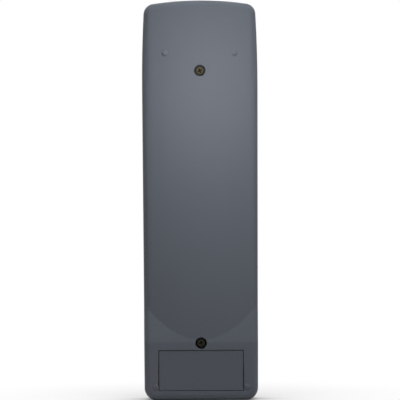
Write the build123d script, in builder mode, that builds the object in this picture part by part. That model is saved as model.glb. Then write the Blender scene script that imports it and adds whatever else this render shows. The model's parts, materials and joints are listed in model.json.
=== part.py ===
from build123d import *
import os
from math import cos, pi, radians, sin, sqrt, tan

# A universal remote control, standing on its flat bottom end.
# +Z runs from the bottom end to the signal window, the keys face +Y and the back faces -Y.
# The origin is the middle of the bottom end. All lengths are in millimetres.

# Outline, as seen from the back
overall_length = 215.0
overall_depth = 24.0
widest_width = 62.4
widest_share = 0.7814
bottom_width = 60.9
top_width = 59.9
top_arch_drop = 2.3
top_corner_radius = 5.7
bottom_corner_radius = 6.7

# Moulded housing
housing_wall = 2.2
front_wall = 2.0
front_depth = 7.4
front_bevel = 1.6
back_round = 4.0
back_crown_radius = 120.0
back_taper_angle = 0.9
lip_thickness = 0.9
lip_depth = 1.4

# Heel that holds the cells
heel_stand = 0.26
ridge_height = 31.3
ridge_round = 9.0
ramp_angle = 12.5
ramp_run = 30.0
crease_round = 3.0

# Small feet on the back
pip_radius = 1.7
pip_stand = 0.5
upper_pip_share = 0.8674
upper_pip_across = 18.7
lower_pip_height = 7.3
lower_pip_across = 24.6

# Clearances
overrun = 5.0
small_overrun = 0.5
midline_band = 0.1
fit_gap = 0.1
door_gap = 0.25
key_gap = 0.3
solder_gap = 0.05

# Housing screws and the tubes that they draw together
upper_screw_share = 0.8233
lower_screw_height = 30.7
recess_radius = 3.13
recess_wall = 0.9
seat_thickness = 1.2
upper_recess_depth = 2.4
screw_head_radius = 2.6
screw_head_height = 1.7
screw_core_radius = 1.05
screw_length = 13.5
tube_radius = 2.8
tube_bore_radius = 1.5
pillar_radius = 3.0
pilot_radius = 1.1
pilot_floor = 0.6

# Stiffening ribs inside the back
rib_thickness = 1.2
rib_rise = 4.5
rib_lowest_share = 0.2698
rib_pitch_share = 0.1581
rib_count = 4

# Battery door
door_across = 22.6
door_bottom = 5.4
door_top = 26.8
door_thickness = 1.6
door_recess = 0.3
door_dish = 0.3
tongue_across = 14.0
tongue_width = 6.0
tongue_reach = 1.3
tongue_thickness = 0.9
tongue_root = 1.0
slot_depth = 1.9
latch_width = 10.0
latch_thickness = 0.7
latch_depth = 1.5
latch_drop = 1.1

# Battery bay and the two cells lying across it
cell_radius = 5.15
cell_length = 44.5
cell_nub_radius = 1.9
cell_nub_length = 0.9
cell_gap = 0.2
bay_side_gap = 0.15
bay_wall = 1.2
contact_thickness = 0.4
leaf_reach = 3.4
leaf_width = 6.4
leaf_thickness = 0.3
plate_width = 8.0
plate_length = 8.6
tail_width = 2.0
tail_inset = 0.9

# Circuit board and the screws that hold it to the front
board_thickness = 1.6
board_across = 26.6
board_bottom = 8.0
board_top_drop = 11.5
board_corner = 3.6
board_screw_across = 24.4
board_screw_shares = (0.8209, 0.2919)
board_boss_radius = 1.6
board_pilot_radius = 0.75
board_screw_radius = 0.7
board_screw_head_radius = 1.6
board_screw_head_height = 1.0
board_screw_length = 4.6

# Rubber keypad
key_room = 3.4
sheet_thickness = 1.2
sheet_across = 25.4
sheet_bottom_share = 0.1977
sheet_top_drop = 12.8
sheet_corner = 2.0
sheet_rib_thickness = 1.0
sheet_rib_shares = (0.3874, 0.5042, 0.7135)

# Key form
key_stand = 1.2
ring_stand = 1.6
key_bevel = 0.45
key_corner_cut = 1.0
flange_reach = 0.7
flange_thickness = 0.8
foot_inset = 0.6
foot_lift = 1.0
foot_gap = 0.45
rocker_end_gap = 0.65
rocker_flange_drop = 0.4
rocker_flange_height = 6.0
rocker_foot_height = 5.0

# Key layout: what lies across the remote is a length, what runs along it is a share of its length
power_across = -20.0
power_share = 0.9163
power_radius = 4.4
device_share = 0.8651
device_pitch = 12.8
device_width = 9.8
device_tall_share = 0.0279
transport_share = 0.7767
transport_pitch = 15.5
transport_step_share = 0.0391
transport_width = 12.0
transport_tall_share = 0.0279
ring_share = 0.6093
ring_outer_share = 0.0744
ring_inner_share = 0.0316
ring_gap = 2.6
ok_share = 0.0223
corner_across = 18.5
corner_rise_share = 0.0791
corner_width = 10.5
corner_tall_share = 0.0302
rocker_across = 18.5
rocker_share = 0.4465
rocker_width = 10.0
rocker_tall_share = 0.0930
middle_step_share = 0.0233
middle_width = 11.0
middle_tall_share = 0.0279
digit_share = 0.3581
digit_pitch = 16.0
digit_step_share = 0.0442
digit_width = 11.6
digit_tall_share = 0.0302

# Signal window, its emitter, and the indicator
window_across = 11.0
window_low = -1.5
window_high = 6.5
window_flange = 2.0
window_flange_thickness = 1.0
emitter_radius = 2.5
emitter_rim_radius = 2.9
emitter_rim_thickness = 1.0
emitter_length = 4.2
emitter_standoff = 0.8
lead_radius = 0.25
lead_spacing = 2.54
lead_length = 4.8
indicator_across = 20.0
indicator_share = 0.9163
lens_radius = 1.5
lens_flange_radius = 2.2
lens_flange_thickness = 0.9
lens_stand = 0.3
lamp_base = 3.2
lamp_base_thickness = 0.8
lamp_radius = 1.2
lamp_height = 1.9

# Parts on the back of the board
controller_share = 0.5488
controller_size = (7.5, 12.8)
controller_thickness = 2.3
controller_pins = 8
memory_share = 0.6791
memory_across = 9.0
memory_size = (4.0, 5.0)
memory_thickness = 1.5
memory_pins = 4
pin_pitch = 1.27
pin_width = 0.45
pin_reach = 1.2
pin_thickness = 0.3
pin_standoff = 0.2
resonator_across = -11.0
resonator_share = 0.5488
resonator_size = (3.6, 7.8)
resonator_thickness = 3.2
resonator_corner = 1.2
capacitor_across = 14.0
capacitor_share = 0.3070
capacitor_radius = 3.15
capacitor_length = 11.0
capacitor_lead_run = 2.4
transistor_across = 9.0
transistor_share = 0.8977
transistor_radius = 2.3
transistor_length = 4.6
transistor_flat = 1.5
resistor_across = -17.0
resistor_share = 0.6977
resistor_pitch = 5.0
resistor_count = 6
resistor_size = (1.25, 2.0)
resistor_thickness = 0.55

# An edge whose direction has more than this share along the depth is a corner of the side wall
upright_share = 0.9
# A face whose normal has less than this share along the depth is a side wall
wall_share = 0.05
# Legs of the bevels that stand for a rounding of radius one: a corner cut once, then its two edges again
corner_share = 2 - sqrt(2)
edge_share = tan(pi / 8) - tan(pi / 16)
# Angle at which a round bar's surface starts
seam_turn = 60
# Flat sides of a round form: small ones in sight, and those hidden inside
small_sides = 12
hidden_sides = 8

# Places along the remote, from its bottom end
widest_height = widest_share * overall_length
upper_pip_height = upper_pip_share * overall_length
upper_screw_height = upper_screw_share * overall_length
rib_lowest = rib_lowest_share * overall_length
rib_pitch = rib_pitch_share * overall_length
board_top = overall_length - board_top_drop
sheet_top = overall_length - sheet_top_drop
sheet_bottom = sheet_bottom_share * overall_length
indicator_height = indicator_share * overall_length
ramp_top = ridge_height + ramp_run

# Levels through the depth, from the back (-Y) to the front (+Y)
heel_face = -overall_depth / 2 + pip_stand
hull_crest = heel_face + heel_stand
front_face = overall_depth / 2 - ring_stand
split_level = front_face - front_depth
front_inside = front_face - front_wall
board_front = front_inside - key_room
board_back = board_front - board_thickness
sheet_front = board_front + sheet_thickness
door_face = heel_face + door_recess
door_inside = door_face + door_thickness
heel_inside = heel_face + housing_wall
FRONTWARD = (0, 1, 0)
BACKWARD = (0, -1, 0)


def level_plane(level):
    """Plane square to the depth, with X across and Z up."""
    return Plane.XZ.offset(-level)


def hull_level(across, height):
    """Depth of the hull's back surface at a place on it."""
    taper = (height - ridge_height) * tan(radians(back_taper_angle))
    crown = back_crown_radius - sqrt(back_crown_radius ** 2 - across ** 2)
    return hull_crest + taper + crown


screw_seat = hull_level(0, upper_screw_height) + upper_recess_depth


def outline_face(level, inset):
    """The outline seen from the back, drawn in by an inset."""
    with BuildSketch(level_plane(level)) as outline:
        with BuildLine():
            bottom = Line((0, 0), (bottom_width / 2, 0))
            side = Line(bottom @ 1, (widest_width / 2, widest_height))
            shoulder = TangentArc(
                side @ 1,
                (top_width / 2, overall_length - top_arch_drop),
                tangent=side % 1,
            )
            TangentArc((0, overall_length), shoulder @ 1, tangent=(1, 0))
            mirror(about=Plane.YZ)
        make_face()
        fillet(outline.vertices().group_by(Axis.Y)[0], bottom_corner_radius)
        fillet(outline.vertices().group_by(Axis.Y)[-1], top_corner_radius)
        if inset > 0:
            offset(amount=-inset, mode=Mode.REPLACE)
    return outline.sketch


def border(faces):
    """The edges round a group of faces, without those that two of them share."""
    edges = [edge for face in faces for edge in face.edges()]
    return [edge for edge in edges if sum(edge.is_same(other) for other in edges) == 1]


def soften_rim(form, rim, radius):
    """Bevel the back's rim in three steps about a radius."""
    chamfer(rim, corner_share * radius)
    ends = form.faces().filter_by(lambda face: face.normal_at().Y < -upright_share)
    walls = form.faces().filter_by(lambda face: abs(face.normal_at().Y) < wall_share)
    wall_edges = [edge for edge in border(walls) if abs(edge.center().Y - split_level) > midline_band]
    chamfer(border(ends) + wall_edges, edge_share * radius)


def on_rim(edge):
    """True for the edges where the back surfaces meet the side walls."""
    middle = edge.center()
    if middle.Y > split_level - midline_band:
        return False
    if abs(middle.X) < midline_band and overrun < middle.Z < ramp_top:
        return False
    return abs((edge % 0).Y) < upright_share


def back_form(inset):
    """The housing's back half as a solid: crowned and tapered hull, ramp and heel."""
    crest = hull_crest + inset
    heel = heel_face + inset
    crown_radius = back_crown_radius - inset
    half_depth = overall_depth / 2
    taper = radians(back_taper_angle)
    ridge = ridge_height - inset * tan(radians(ramp_angle / 2))
    ramp_end = heel + ramp_run * tan(radians(ramp_angle))
    with BuildPart() as surfaces:
        hull_plane = Plane(origin=(0, crest, ridge), x_dir=(1, 0, 0), z_dir=(0, sin(taper), cos(taper)))
        with BuildSketch(hull_plane):
            with Locations((0, crown_radius)):
                Circle(crown_radius)
        extrude(amount=overall_length)
        with BuildSketch(Plane.YZ):
            with BuildLine():
                Polyline(
                    (half_depth, -overrun),
                    (heel, -overrun),
                    (heel, ridge),
                    (ramp_end, ridge + ramp_run),
                    (half_depth, ridge + ramp_run),
                    close=True,
                )
            make_face()
        extrude(amount=widest_width, both=True)
    with BuildPart() as form:
        extrude(outline_face(split_level, inset), amount=overall_depth, dir=BACKWARD)
        add(surfaces.part, mode=Mode.INTERSECT)
    return form.part


def soften_back(part):
    """Ease the heel's ridge and crease, and round the rim."""
    with BuildPart() as form:
        add(part)
        for is_ridge, radius in ((False, crease_round), (True, ridge_round)):
            middle = form.edges().filter_by(lambda edge: abs(edge.center().X) < midline_band)
            inner_edges = middle.filter_by_position(Axis.Z, overrun, ramp_top)
            fillet(inner_edges.filter_by(GeomType.LINE, reverse=not is_ridge), radius)
        soften_rim(form, form.edges().filter_by(on_rim), back_round)
    return form.part


def front_form():
    """The housing's front half as a solid, with a bevelled rim."""
    with BuildPart() as form:
        extrude(outline_face(split_level, 0), amount=front_depth, dir=FRONTWARD)
        chamfer(form.faces().sort_by(Axis.Y)[-1].edges(), front_bevel)
    return form.part


def block(low, high):
    """A plain box between two corners, for cuts and for boxy pieces."""
    size = [top - bottom for bottom, top in zip(low, high)]
    with BuildPart() as box:
        with BuildSketch(Plane.XY.offset(low[2])):
            with Locations((low[0] + size[0] / 2, low[1] + size[1] / 2)):
                Rectangle(size[0], size[1])
        extrude(amount=size[2])
    return box.part


def rod(across, height, radius, back, front):
    """A round bar along the depth, between two levels, its seam turned away from the hull's lines."""
    with BuildPart() as bar:
        with BuildSketch(level_plane(back)):
            with Locations(Location((across, height, 0), (0, 0, seam_turn))):
                Circle(radius)
        extrude(amount=front - back, dir=FRONTWARD)
    return bar.part


def stud(across, height, radius, back, front, is_room=False, sides=hidden_sides):
    """A bar along the depth with flat sides, within its radius, or round it where it makes room."""
    with BuildPart() as bar:
        with BuildSketch(level_plane(back)):
            with Locations((across, height)):
                RegularPolygon(radius, sides, major_radius=not is_room)
        extrude(amount=front - back, dir=FRONTWARD)
    return bar.part


def post(across, level, radius, low, high):
    """A hidden bar along the length with flat sides, between two heights."""
    with BuildPart() as bar:
        with BuildSketch(Plane.XY.offset(low)):
            with Locations((across, level)):
                RegularPolygon(radius, hidden_sides)
        extrude(amount=high - low)
    return bar.part


def lead(across, level, low, high):
    """A thin square leg along the length, between two heights."""
    return block(
        (across - lead_radius, level - lead_radius, low), (across + lead_radius, level + lead_radius, high)
    )


# Key table: name, place, outline and stand over the front
def grid(names, share, columns, pitch, step_share, width, tall_share):
    """Keys in rows, from the user's left to right and from the top down."""
    keys = []
    for index, name in enumerate(names):
        column = index % columns
        row = index // columns
        keys.append({
            "name": name,
            "across": ((columns - 1) / 2 - column) * pitch,
            "height": (share - row * step_share) * overall_length,
            "outline": "bar",
            "size": (width, tall_share * overall_length),
            "stand": key_stand,
        })
    return keys


device_names = ("device_1_key", "device_2_key", "device_3_key", "device_4_key")
transport_names = ("rewind_key", "play_key", "forward_key", "record_key", "stop_key", "pause_key")
corner_names = ("menu_key", "guide_key", "info_key", "exit_key")
middle_names = ("mute_key", "last_key")
digit_order = (1, 2, 3, 4, 5, 6, 7, 8, 9)
digit_names = tuple(f"digit_{number}_key" for number in digit_order)
digit_names += ("dash_key", "digit_0_key", "enter_key")
ring_names = ("up_key", "right_key", "down_key", "left_key")
rocker_names = ("volume_rocker", "channel_rocker")

keys = []
keys += grid(device_names, device_share, 4, device_pitch, 0, device_width, device_tall_share)
keys += grid(
    transport_names, transport_share, 3, transport_pitch,
    transport_step_share, transport_width, transport_tall_share,
)
keys += grid(
    corner_names, ring_share + corner_rise_share, 2, 2 * corner_across,
    2 * corner_rise_share, corner_width, corner_tall_share,
)
keys += grid(
    middle_names, rocker_share + middle_step_share, 1, 0,
    2 * middle_step_share, middle_width, middle_tall_share,
)
keys += grid(digit_names, digit_share, 3, digit_pitch, digit_step_share, digit_width, digit_tall_share)
keys += grid(rocker_names, rocker_share, 2, 2 * rocker_across, 0, rocker_width, rocker_tall_share)
for key in keys:
    if key["name"] in rocker_names:
        key["outline"] = "rocker"
for turn, name in enumerate(ring_names):
    keys.append({
        "name": name,
        "across": 0,
        "height": ring_share * overall_length,
        "outline": "segment",
        "turn": 90 * turn,
        "stand": ring_stand,
    })
round_keys = (
    ("ok_key", 0, ring_share, ok_share * overall_length),
    ("power_key", power_across, power_share, power_radius),
)
for name, across, share, radius in round_keys:
    keys.append({
        "name": name,
        "across": across,
        "height": share * overall_length,
        "outline": "round",
        "radius": radius,
        "stand": key_stand,
    })


def ring_segment(grow, is_straight):
    """One quarter of the direction ring, about the ring's centre, pointing up."""
    apex = (ring_gap / 2 - grow) * sqrt(2)
    outer_radius = ring_outer_share * overall_length + grow
    inner_radius = ring_inner_share * overall_length - grow
    reach = 2 * outer_radius
    with BuildSketch() as segment:
        if is_straight and grow < 0:
            chord = outer_radius / sqrt(2)
            with Locations((0, (inner_radius + chord) / 2)):
                Rectangle(reach, chord - inner_radius)
        elif is_straight:
            RegularPolygon(outer_radius, small_sides, major_radius=False)
            Rectangle(reach, 2 * inner_radius, mode=Mode.SUBTRACT)
        else:
            Circle(outer_radius)
            Circle(inner_radius, mode=Mode.SUBTRACT)
        with BuildLine():
            Polyline((0, apex), (reach, apex + reach), (-reach, apex + reach), close=True)
        make_face(mode=Mode.INTERSECT)
    return segment.sketch


def key_plan(key, level, grow, is_hidden=False, end_grow=0):
    """A key's outline at a level, grown or drawn in, with a plainer shape where it is hidden."""
    shape = key["outline"]
    segment = ring_segment(grow, is_hidden) if shape == "segment" else None
    with BuildSketch(level_plane(level)) as plan:
        with Locations(Location((key["across"], key["height"], 0), (0, 0, key.get("turn", 0)))):
            if shape == "segment":
                add(segment)
            elif shape == "round" and is_hidden:
                RegularPolygon(key["radius"] + grow, small_sides, major_radius=grow < 0)
            elif shape == "round":
                Circle(key["radius"] + grow)
            else:
                Rectangle(key["size"][0] + 2 * grow, key["size"][1] + 2 * grow + 2 * end_grow)
                if not is_hidden:
                    chamfer(plan.vertices(), key_corner_cut + corner_share * grow)
    return plan.sketch


def build_key(key):
    """A rubber key: bevelled cap, flange behind the front and a foot over its contact."""
    top = front_face + key["stand"]
    flange_top = front_inside - key_gap
    flange_back = flange_top - flange_thickness
    foot_back = board_front + foot_lift
    with BuildPart() as piece:
        extrude(key_plan(key, flange_back, 0), amount=top - flange_back, dir=FRONTWARD)
        chamfer(piece.faces().sort_by(Axis.Y)[-1].edges(), key_bevel)
        flange = key_plan(key, flange_back, flange_reach, is_hidden=True)
        extrude(flange, amount=flange_thickness, dir=FRONTWARD)
        foot = key_plan(key, foot_back, -foot_inset, is_hidden=True)
        extrude(foot, amount=flange_back - foot_back, dir=FRONTWARD)
    return piece.part


def build_rocker(key):
    """A two-way key that tips about its middle, with a short flange and a foot at each end."""
    top = front_face + key["stand"]
    flange_top = front_inside - key_gap - rocker_flange_drop
    flange_back = flange_top - flange_thickness
    foot_back = board_front + foot_lift
    width, tall = key["size"]
    foot_rise = tall / 2 - foot_inset - rocker_foot_height / 2
    with BuildPart() as piece:
        extrude(key_plan(key, flange_back, 0), amount=top - flange_back, dir=FRONTWARD)
        chamfer(piece.faces().sort_by(Axis.Y)[-1].edges(), key_bevel)
        with BuildSketch(level_plane(flange_back)):
            with Locations((key["across"], key["height"])):
                Rectangle(width + 2 * flange_reach, rocker_flange_height)
        extrude(amount=flange_thickness, dir=FRONTWARD)
        with BuildSketch(level_plane(foot_back)):
            for side in (-1, 1):
                with Locations((key["across"], key["height"] + side * foot_rise)):
                    Rectangle(width - 2 * foot_inset, rocker_foot_height)
        extrude(amount=flange_back - foot_back, dir=FRONTWARD)
    return piece.part


os.makedirs("parts", exist_ok=True)


def keep(part, name):
    """Label a finished piece and write it."""
    part.label = name
    export_step(part, f"parts/{name}.step")


# Shared forms
back_outside = soften_back(back_form(0))
back_inside = back_form(housing_wall)
front_outside = front_form()
bay_across = cell_length / 2 + (leaf_reach + 2 * contact_thickness) / 2
bay_bottom = door_bottom - cell_gap
lower_cell_height = bay_bottom + bay_side_gap + cell_radius
upper_cell_height = lower_cell_height + 2 * cell_radius + cell_gap
bay_top = upper_cell_height + cell_radius + bay_side_gap
cell_level = door_inside + key_gap + cell_radius
bay_floor = cell_level + cell_radius + cell_gap
screw_places = (upper_screw_height, lower_screw_height)
board_screw_places = [(side, share * overall_length) for side in (-1, 1) for share in board_screw_shares]
window_outer = block(
    (-window_across, window_low, overall_length - top_corner_radius),
    (window_across, window_high, overall_length + overrun),
)

# Rear housing
with BuildPart() as rear_hollow:
    add(back_inside)
    for index in range(rib_count):
        rib_height = rib_lowest + index * rib_pitch
        rib = block(
            (-widest_width, -overall_depth, rib_height - rib_thickness / 2),
            (widest_width, hull_crest + housing_wall + rib_rise, rib_height + rib_thickness / 2),
        )
        add(rib, mode=Mode.SUBTRACT)
    bay_case = block(
        (-bay_across - bay_wall, -overall_depth, bay_bottom - bay_wall),
        (bay_across + bay_wall, bay_floor + bay_wall, bay_top + bay_wall),
    )
    add(bay_case, mode=Mode.SUBTRACT)
    for height in screw_places:
        cup_front = screw_seat + seat_thickness
        cup = stud(0, height, recess_radius + recess_wall, -overall_depth, cup_front, is_room=True)
        add(cup, mode=Mode.SUBTRACT)
        add(stud(0, height, tube_radius, -overall_depth, split_level + overrun), mode=Mode.SUBTRACT)

with BuildPart() as rear_housing:
    add(back_outside)
    add(rear_hollow.part, mode=Mode.SUBTRACT)
    for height in screw_places:
        add(rod(0, height, recess_radius, -overall_depth, screw_seat), mode=Mode.SUBTRACT)
        bore = stud(0, height, tube_bore_radius, -overall_depth, split_level + overrun, is_room=True)
        add(bore, mode=Mode.SUBTRACT)
    # Bay for the cells, with the door's seat in the heel
    bay = block((-bay_across, heel_inside, bay_bottom), (bay_across, bay_floor, bay_top))
    add(bay, mode=Mode.SUBTRACT)
    door_seat = block(
        (-door_across - door_gap, -overall_depth, door_bottom - door_gap),
        (door_across + door_gap, heel_inside + small_overrun, door_top + door_gap),
    )
    add(door_seat, mode=Mode.SUBTRACT)
    # Slots for the door's tongues, clear of their swing
    for side in (-1, 1):
        slot_middle = side * tongue_across
        slot_half = tongue_width / 2 + key_gap
        slot = block(
            (slot_middle - slot_half, heel_inside, bay_bottom - slot_depth),
            (slot_middle + slot_half, heel_inside + 2 * tongue_reach, bay_bottom + tongue_root),
        )
        add(slot, mode=Mode.SUBTRACT)
    # Slots in the bay's floor for the contacts' tails
    for height in (upper_cell_height, lower_cell_height):
        tail_slot = block(
            (bay_across - tail_inset, bay_floor - small_overrun, height - tail_width / 2 - key_gap),
            (bay_across, split_level, height + tail_width / 2 + key_gap),
        )
        add(tail_slot, mode=Mode.SUBTRACT)
    add(window_outer, mode=Mode.SUBTRACT)
    # Feet that the remote lies on
    for side in (-1, 1):
        upper_face = hull_level(upper_pip_across, upper_pip_height)
        pip_places = (
            (lower_pip_across, lower_pip_height, heel_face),
            (upper_pip_across, upper_pip_height, upper_face),
        )
        for across, height, face in pip_places:
            root = face + housing_wall / 2
            add(stud(side * across, height, pip_radius, face - pip_stand, root, sides=small_sides))
keep(rear_housing.part, "rear_housing")

# Front housing
lip_back = split_level - lip_depth
lip_front = split_level + lip_depth
window_gap_across = window_across + window_flange + door_gap
wall_middle = front_inside + front_wall / 2
with BuildPart() as front_inner:
    extrude(outline_face(split_level, housing_wall / 2), amount=lip_depth, dir=FRONTWARD)
    extrude(outline_face(lip_back, housing_wall + fit_gap), amount=lip_depth, dir=FRONTWARD)
    lip_bore = outline_face(lip_back, housing_wall + fit_gap + lip_thickness)
    extrude(lip_bore, amount=2 * lip_depth, dir=FRONTWARD, mode=Mode.SUBTRACT)
    window_room = block(
        (-window_gap_across, lip_back - overrun, overall_length - 2 * top_corner_radius),
        (window_gap_across, lip_front + overrun, overall_length),
    )
    add(window_room, mode=Mode.SUBTRACT)
    for height in screw_places:
        add(stud(0, height, pillar_radius, split_level, wall_middle))
    for side, height in board_screw_places:
        add(stud(side * board_screw_across, height, board_boss_radius, board_front, wall_middle))
    for share in sheet_rib_shares:
        height = share * overall_length
        rib_across = (bottom_width - housing_wall) / 2
        add(block(
            (-rib_across, sheet_front + fit_gap, height - sheet_rib_thickness / 2),
            (rib_across, wall_middle, height + sheet_rib_thickness / 2),
        ))

with BuildPart() as key_openings:
    for key in keys:
        end_grow = rocker_end_gap - key_gap if key["outline"] == "rocker" else 0
        opening = key_plan(key, front_inside - key_gap, key_gap, end_grow=end_grow)
        extrude(opening, amount=front_wall + overrun, dir=FRONTWARD)

with BuildPart() as front_housing:
    add(front_outside)
    hollow_depth = front_inside - split_level
    extrude(outline_face(split_level, housing_wall), amount=hollow_depth, dir=FRONTWARD, mode=Mode.SUBTRACT)
    add(front_inner.part)
    for height in screw_places:
        pilot = stud(0, height, pilot_radius, lip_back, front_inside - pilot_floor, is_room=True)
        add(pilot, mode=Mode.SUBTRACT)
    for side, height in board_screw_places:
        across = side * board_screw_across
        pilot = stud(across, height, board_pilot_radius, lip_back, front_inside - fit_gap, is_room=True)
        add(pilot, mode=Mode.SUBTRACT)
    lens_room = lens_radius + fit_gap
    lens_top = front_face + overrun
    lens_hole = stud(
        indicator_across, indicator_height, lens_room, front_inside - fit_gap, lens_top,
        is_room=True, sides=small_sides,
    )
    add(lens_hole, mode=Mode.SUBTRACT)
    add(key_openings.part, mode=Mode.SUBTRACT)
    add(window_outer, mode=Mode.SUBTRACT)
keep(front_housing.part, "front_housing")

# Signal window: a pane that continues the top edge, with a flange behind it
with BuildPart() as infrared_window:
    pane_low = window_low + fit_gap
    pane_depth = window_high - window_low - 2 * fit_gap
    pane_inner = housing_wall + fit_gap
    extrude(outline_face(pane_low, 0), amount=pane_depth, dir=FRONTWARD)
    extrude(outline_face(pane_low, pane_inner), amount=pane_depth, dir=FRONTWARD, mode=Mode.SUBTRACT)
    pane_across = window_across - fit_gap
    pane_region = block(
        (-pane_across, window_low - overrun, overall_length - top_corner_radius),
        (pane_across, window_high + overrun, overall_length + overrun),
    )
    add(pane_region, mode=Mode.INTERSECT)
with BuildPart() as window_back:
    flange_low = window_low - window_flange / 2
    flange_depth = window_high - window_low + window_flange
    flange_inner = housing_wall + fit_gap + window_flange_thickness
    extrude(outline_face(flange_low, housing_wall + fit_gap), amount=flange_depth, dir=FRONTWARD)
    extrude(outline_face(flange_low, flange_inner), amount=flange_depth, dir=FRONTWARD, mode=Mode.SUBTRACT)
    flange_region = block(
        (-window_across - window_flange, window_low - overrun, overall_length - top_corner_radius),
        (window_across + window_flange, window_high + overrun, overall_length + overrun),
    )
    add(flange_region, mode=Mode.INTERSECT)
with infrared_window:
    add(window_back.part)
keep(infrared_window.part, "infrared_window")

# Battery door: dished panel with two hooking tongues and a latch leaf
with BuildPart() as battery_door:
    add(block((-door_across, door_face, door_bottom), (door_across, door_inside, door_top)))
    half_door = (door_top - door_bottom) / 2
    dish_radius = (half_door ** 2 + door_dish ** 2) / (2 * door_dish)
    with BuildSketch(Plane.YZ.offset(-door_across - overrun)):
        with Locations((door_face + door_dish - dish_radius, door_bottom + half_door)):
            Circle(dish_radius)
    extrude(amount=2 * (door_across + overrun), mode=Mode.SUBTRACT)
    tongue_back = heel_inside + cell_gap
    tongue_front = tongue_back + tongue_thickness
    for side in (-1, 1):
        middle = side * tongue_across
        add(block(
            (middle - tongue_width / 2, tongue_back, door_bottom - tongue_reach),
            (middle + tongue_width / 2, tongue_front, door_bottom + tongue_root),
        ))
        add(block(
            (middle - tongue_width / 2, door_inside, door_bottom),
            (middle + tongue_width / 2, tongue_front, door_bottom + tongue_root),
        ))
    latch_top = door_top - latch_drop
    add(block(
        (-latch_width / 2, door_inside, latch_top - latch_thickness),
        (latch_width / 2, door_inside + latch_depth, latch_top),
    ))
keep(battery_door.part, "battery_door")


def build_cell(height, side):
    """A dry cell lying across the bay, its raised end towards one side."""
    raised_end = side * (bay_across - contact_thickness - solder_gap)
    shoulder = raised_end - side * cell_nub_length
    flat_end = raised_end - side * cell_length
    with BuildPart() as cell:
        with BuildSketch(Plane.YZ.offset(flat_end)):
            with Locations((cell_level, height)):
                Circle(cell_radius)
        extrude(amount=shoulder - flat_end)
        with BuildSketch(Plane.YZ.offset(shoulder)):
            with Locations((cell_level, height)):
                RegularPolygon(cell_nub_radius, hidden_sides)
        extrude(amount=raised_end - shoulder)
    return cell.part


keep(build_cell(upper_cell_height, 1), "upper_cell")
keep(build_cell(lower_cell_height, -1), "lower_cell")


def build_contact(side, low, high, leaf_height, tail_height):
    """A battery contact: a plate on the bay's end wall, with a sprung leaf or a tail where it has one."""
    outer = bay_across - solder_gap
    inner = outer - contact_thickness
    plate_back = cell_level - plate_length / 2
    plate_front = cell_level + plate_length / 2
    faces = sorted((side * inner, side * outer))
    with BuildPart() as contact:
        add(block((faces[0], plate_back, low), (faces[1], plate_front, high)))
        if leaf_height is not None:
            root = inner + contact_thickness / 2
            tip = inner - leaf_reach + contact_thickness
            with BuildSketch(Plane.XY.offset(leaf_height - leaf_width / 2)):
                with BuildLine():
                    Polyline(
                        (side * root, plate_back + contact_thickness),
                        (side * root, plate_back - contact_thickness),
                        (side * (root - leaf_reach / 3), plate_back - contact_thickness),
                        (side * tip, cell_level),
                        (side * (root - leaf_reach / 3), plate_front - contact_thickness),
                    )
                trace(line_width=leaf_thickness)
            extrude(amount=leaf_width)
        if tail_height is not None:
            add(block(
                (faces[0], plate_front - contact_thickness, tail_height - tail_width / 2),
                (faces[1], board_back, tail_height + tail_width / 2),
            ))
    return contact.part


half_plate = plate_width / 2
positive_contact = build_contact(
    1, upper_cell_height - half_plate, upper_cell_height + half_plate, None, upper_cell_height
)
keep(positive_contact, "positive_contact")
negative_contact = build_contact(
    1, lower_cell_height - half_plate, lower_cell_height + half_plate, lower_cell_height, lower_cell_height
)
keep(negative_contact, "negative_contact")
bridge_contact = build_contact(
    -1, lower_cell_height - half_plate, upper_cell_height + half_plate, upper_cell_height, None
)
keep(bridge_contact, "bridge_contact")

# Circuit board
board_hole = board_screw_radius + fit_gap
with BuildPart() as main_board:
    with BuildSketch(level_plane(board_back)) as board_plan:
        with Locations((0, (board_bottom + board_top) / 2)):
            Rectangle(2 * board_across, board_top - board_bottom)
        chamfer(board_plan.vertices(), board_corner)
        for height in screw_places:
            with Locations((0, height)):
                RegularPolygon(pillar_radius + foot_gap, hidden_sides, major_radius=False, mode=Mode.SUBTRACT)
        for side, height in board_screw_places:
            with Locations((side * board_screw_across, height)):
                RegularPolygon(board_hole, hidden_sides, major_radius=False, mode=Mode.SUBTRACT)
    extrude(amount=board_thickness, dir=FRONTWARD)
keep(main_board.part, "main_board")

# Rubber keypad sheet, open round each key
with BuildPart() as foot_openings:
    for key in keys:
        opening = key_plan(key, board_front - foot_gap, foot_gap - foot_inset, is_hidden=True)
        extrude(opening, amount=sheet_thickness + overrun, dir=FRONTWARD)
boss_room = 2 * (board_boss_radius + foot_gap)
with BuildPart() as keypad_sheet:
    with BuildSketch(level_plane(board_front)) as sheet_plan:
        with Locations((0, (sheet_bottom + sheet_top) / 2)):
            Rectangle(2 * sheet_across, sheet_top - sheet_bottom)
        chamfer(sheet_plan.vertices(), sheet_corner)
        with Locations((0, upper_screw_height)):
            RegularPolygon(pillar_radius + foot_gap, hidden_sides, major_radius=False, mode=Mode.SUBTRACT)
        with Locations((indicator_across, indicator_height)):
            Rectangle(lamp_base + 2 * foot_gap, lamp_base + 2 * foot_gap, mode=Mode.SUBTRACT)
        for side, height in board_screw_places:
            with Locations((side * board_screw_across, height)):
                Rectangle(boss_room, boss_room, mode=Mode.SUBTRACT)
    extrude(amount=sheet_thickness, dir=FRONTWARD)
    add(foot_openings.part, mode=Mode.SUBTRACT)
keep(keypad_sheet.part, "keypad_sheet")

# Keys
for key in keys:
    if key["outline"] == "rocker":
        keep(build_rocker(key), key["name"])
    else:
        keep(build_key(key), key["name"])


def build_screw(head, across, height, seat, head_radius, head_height, core_radius, length):
    """A screw driven from the back, as one solid: a flat head of the given form on a plain core."""
    with BuildPart() as screw:
        add(head(across, height, head_radius, seat - head_height, seat))
        add(stud(across, height, core_radius, seat, seat + length))
    return screw.part


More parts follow.
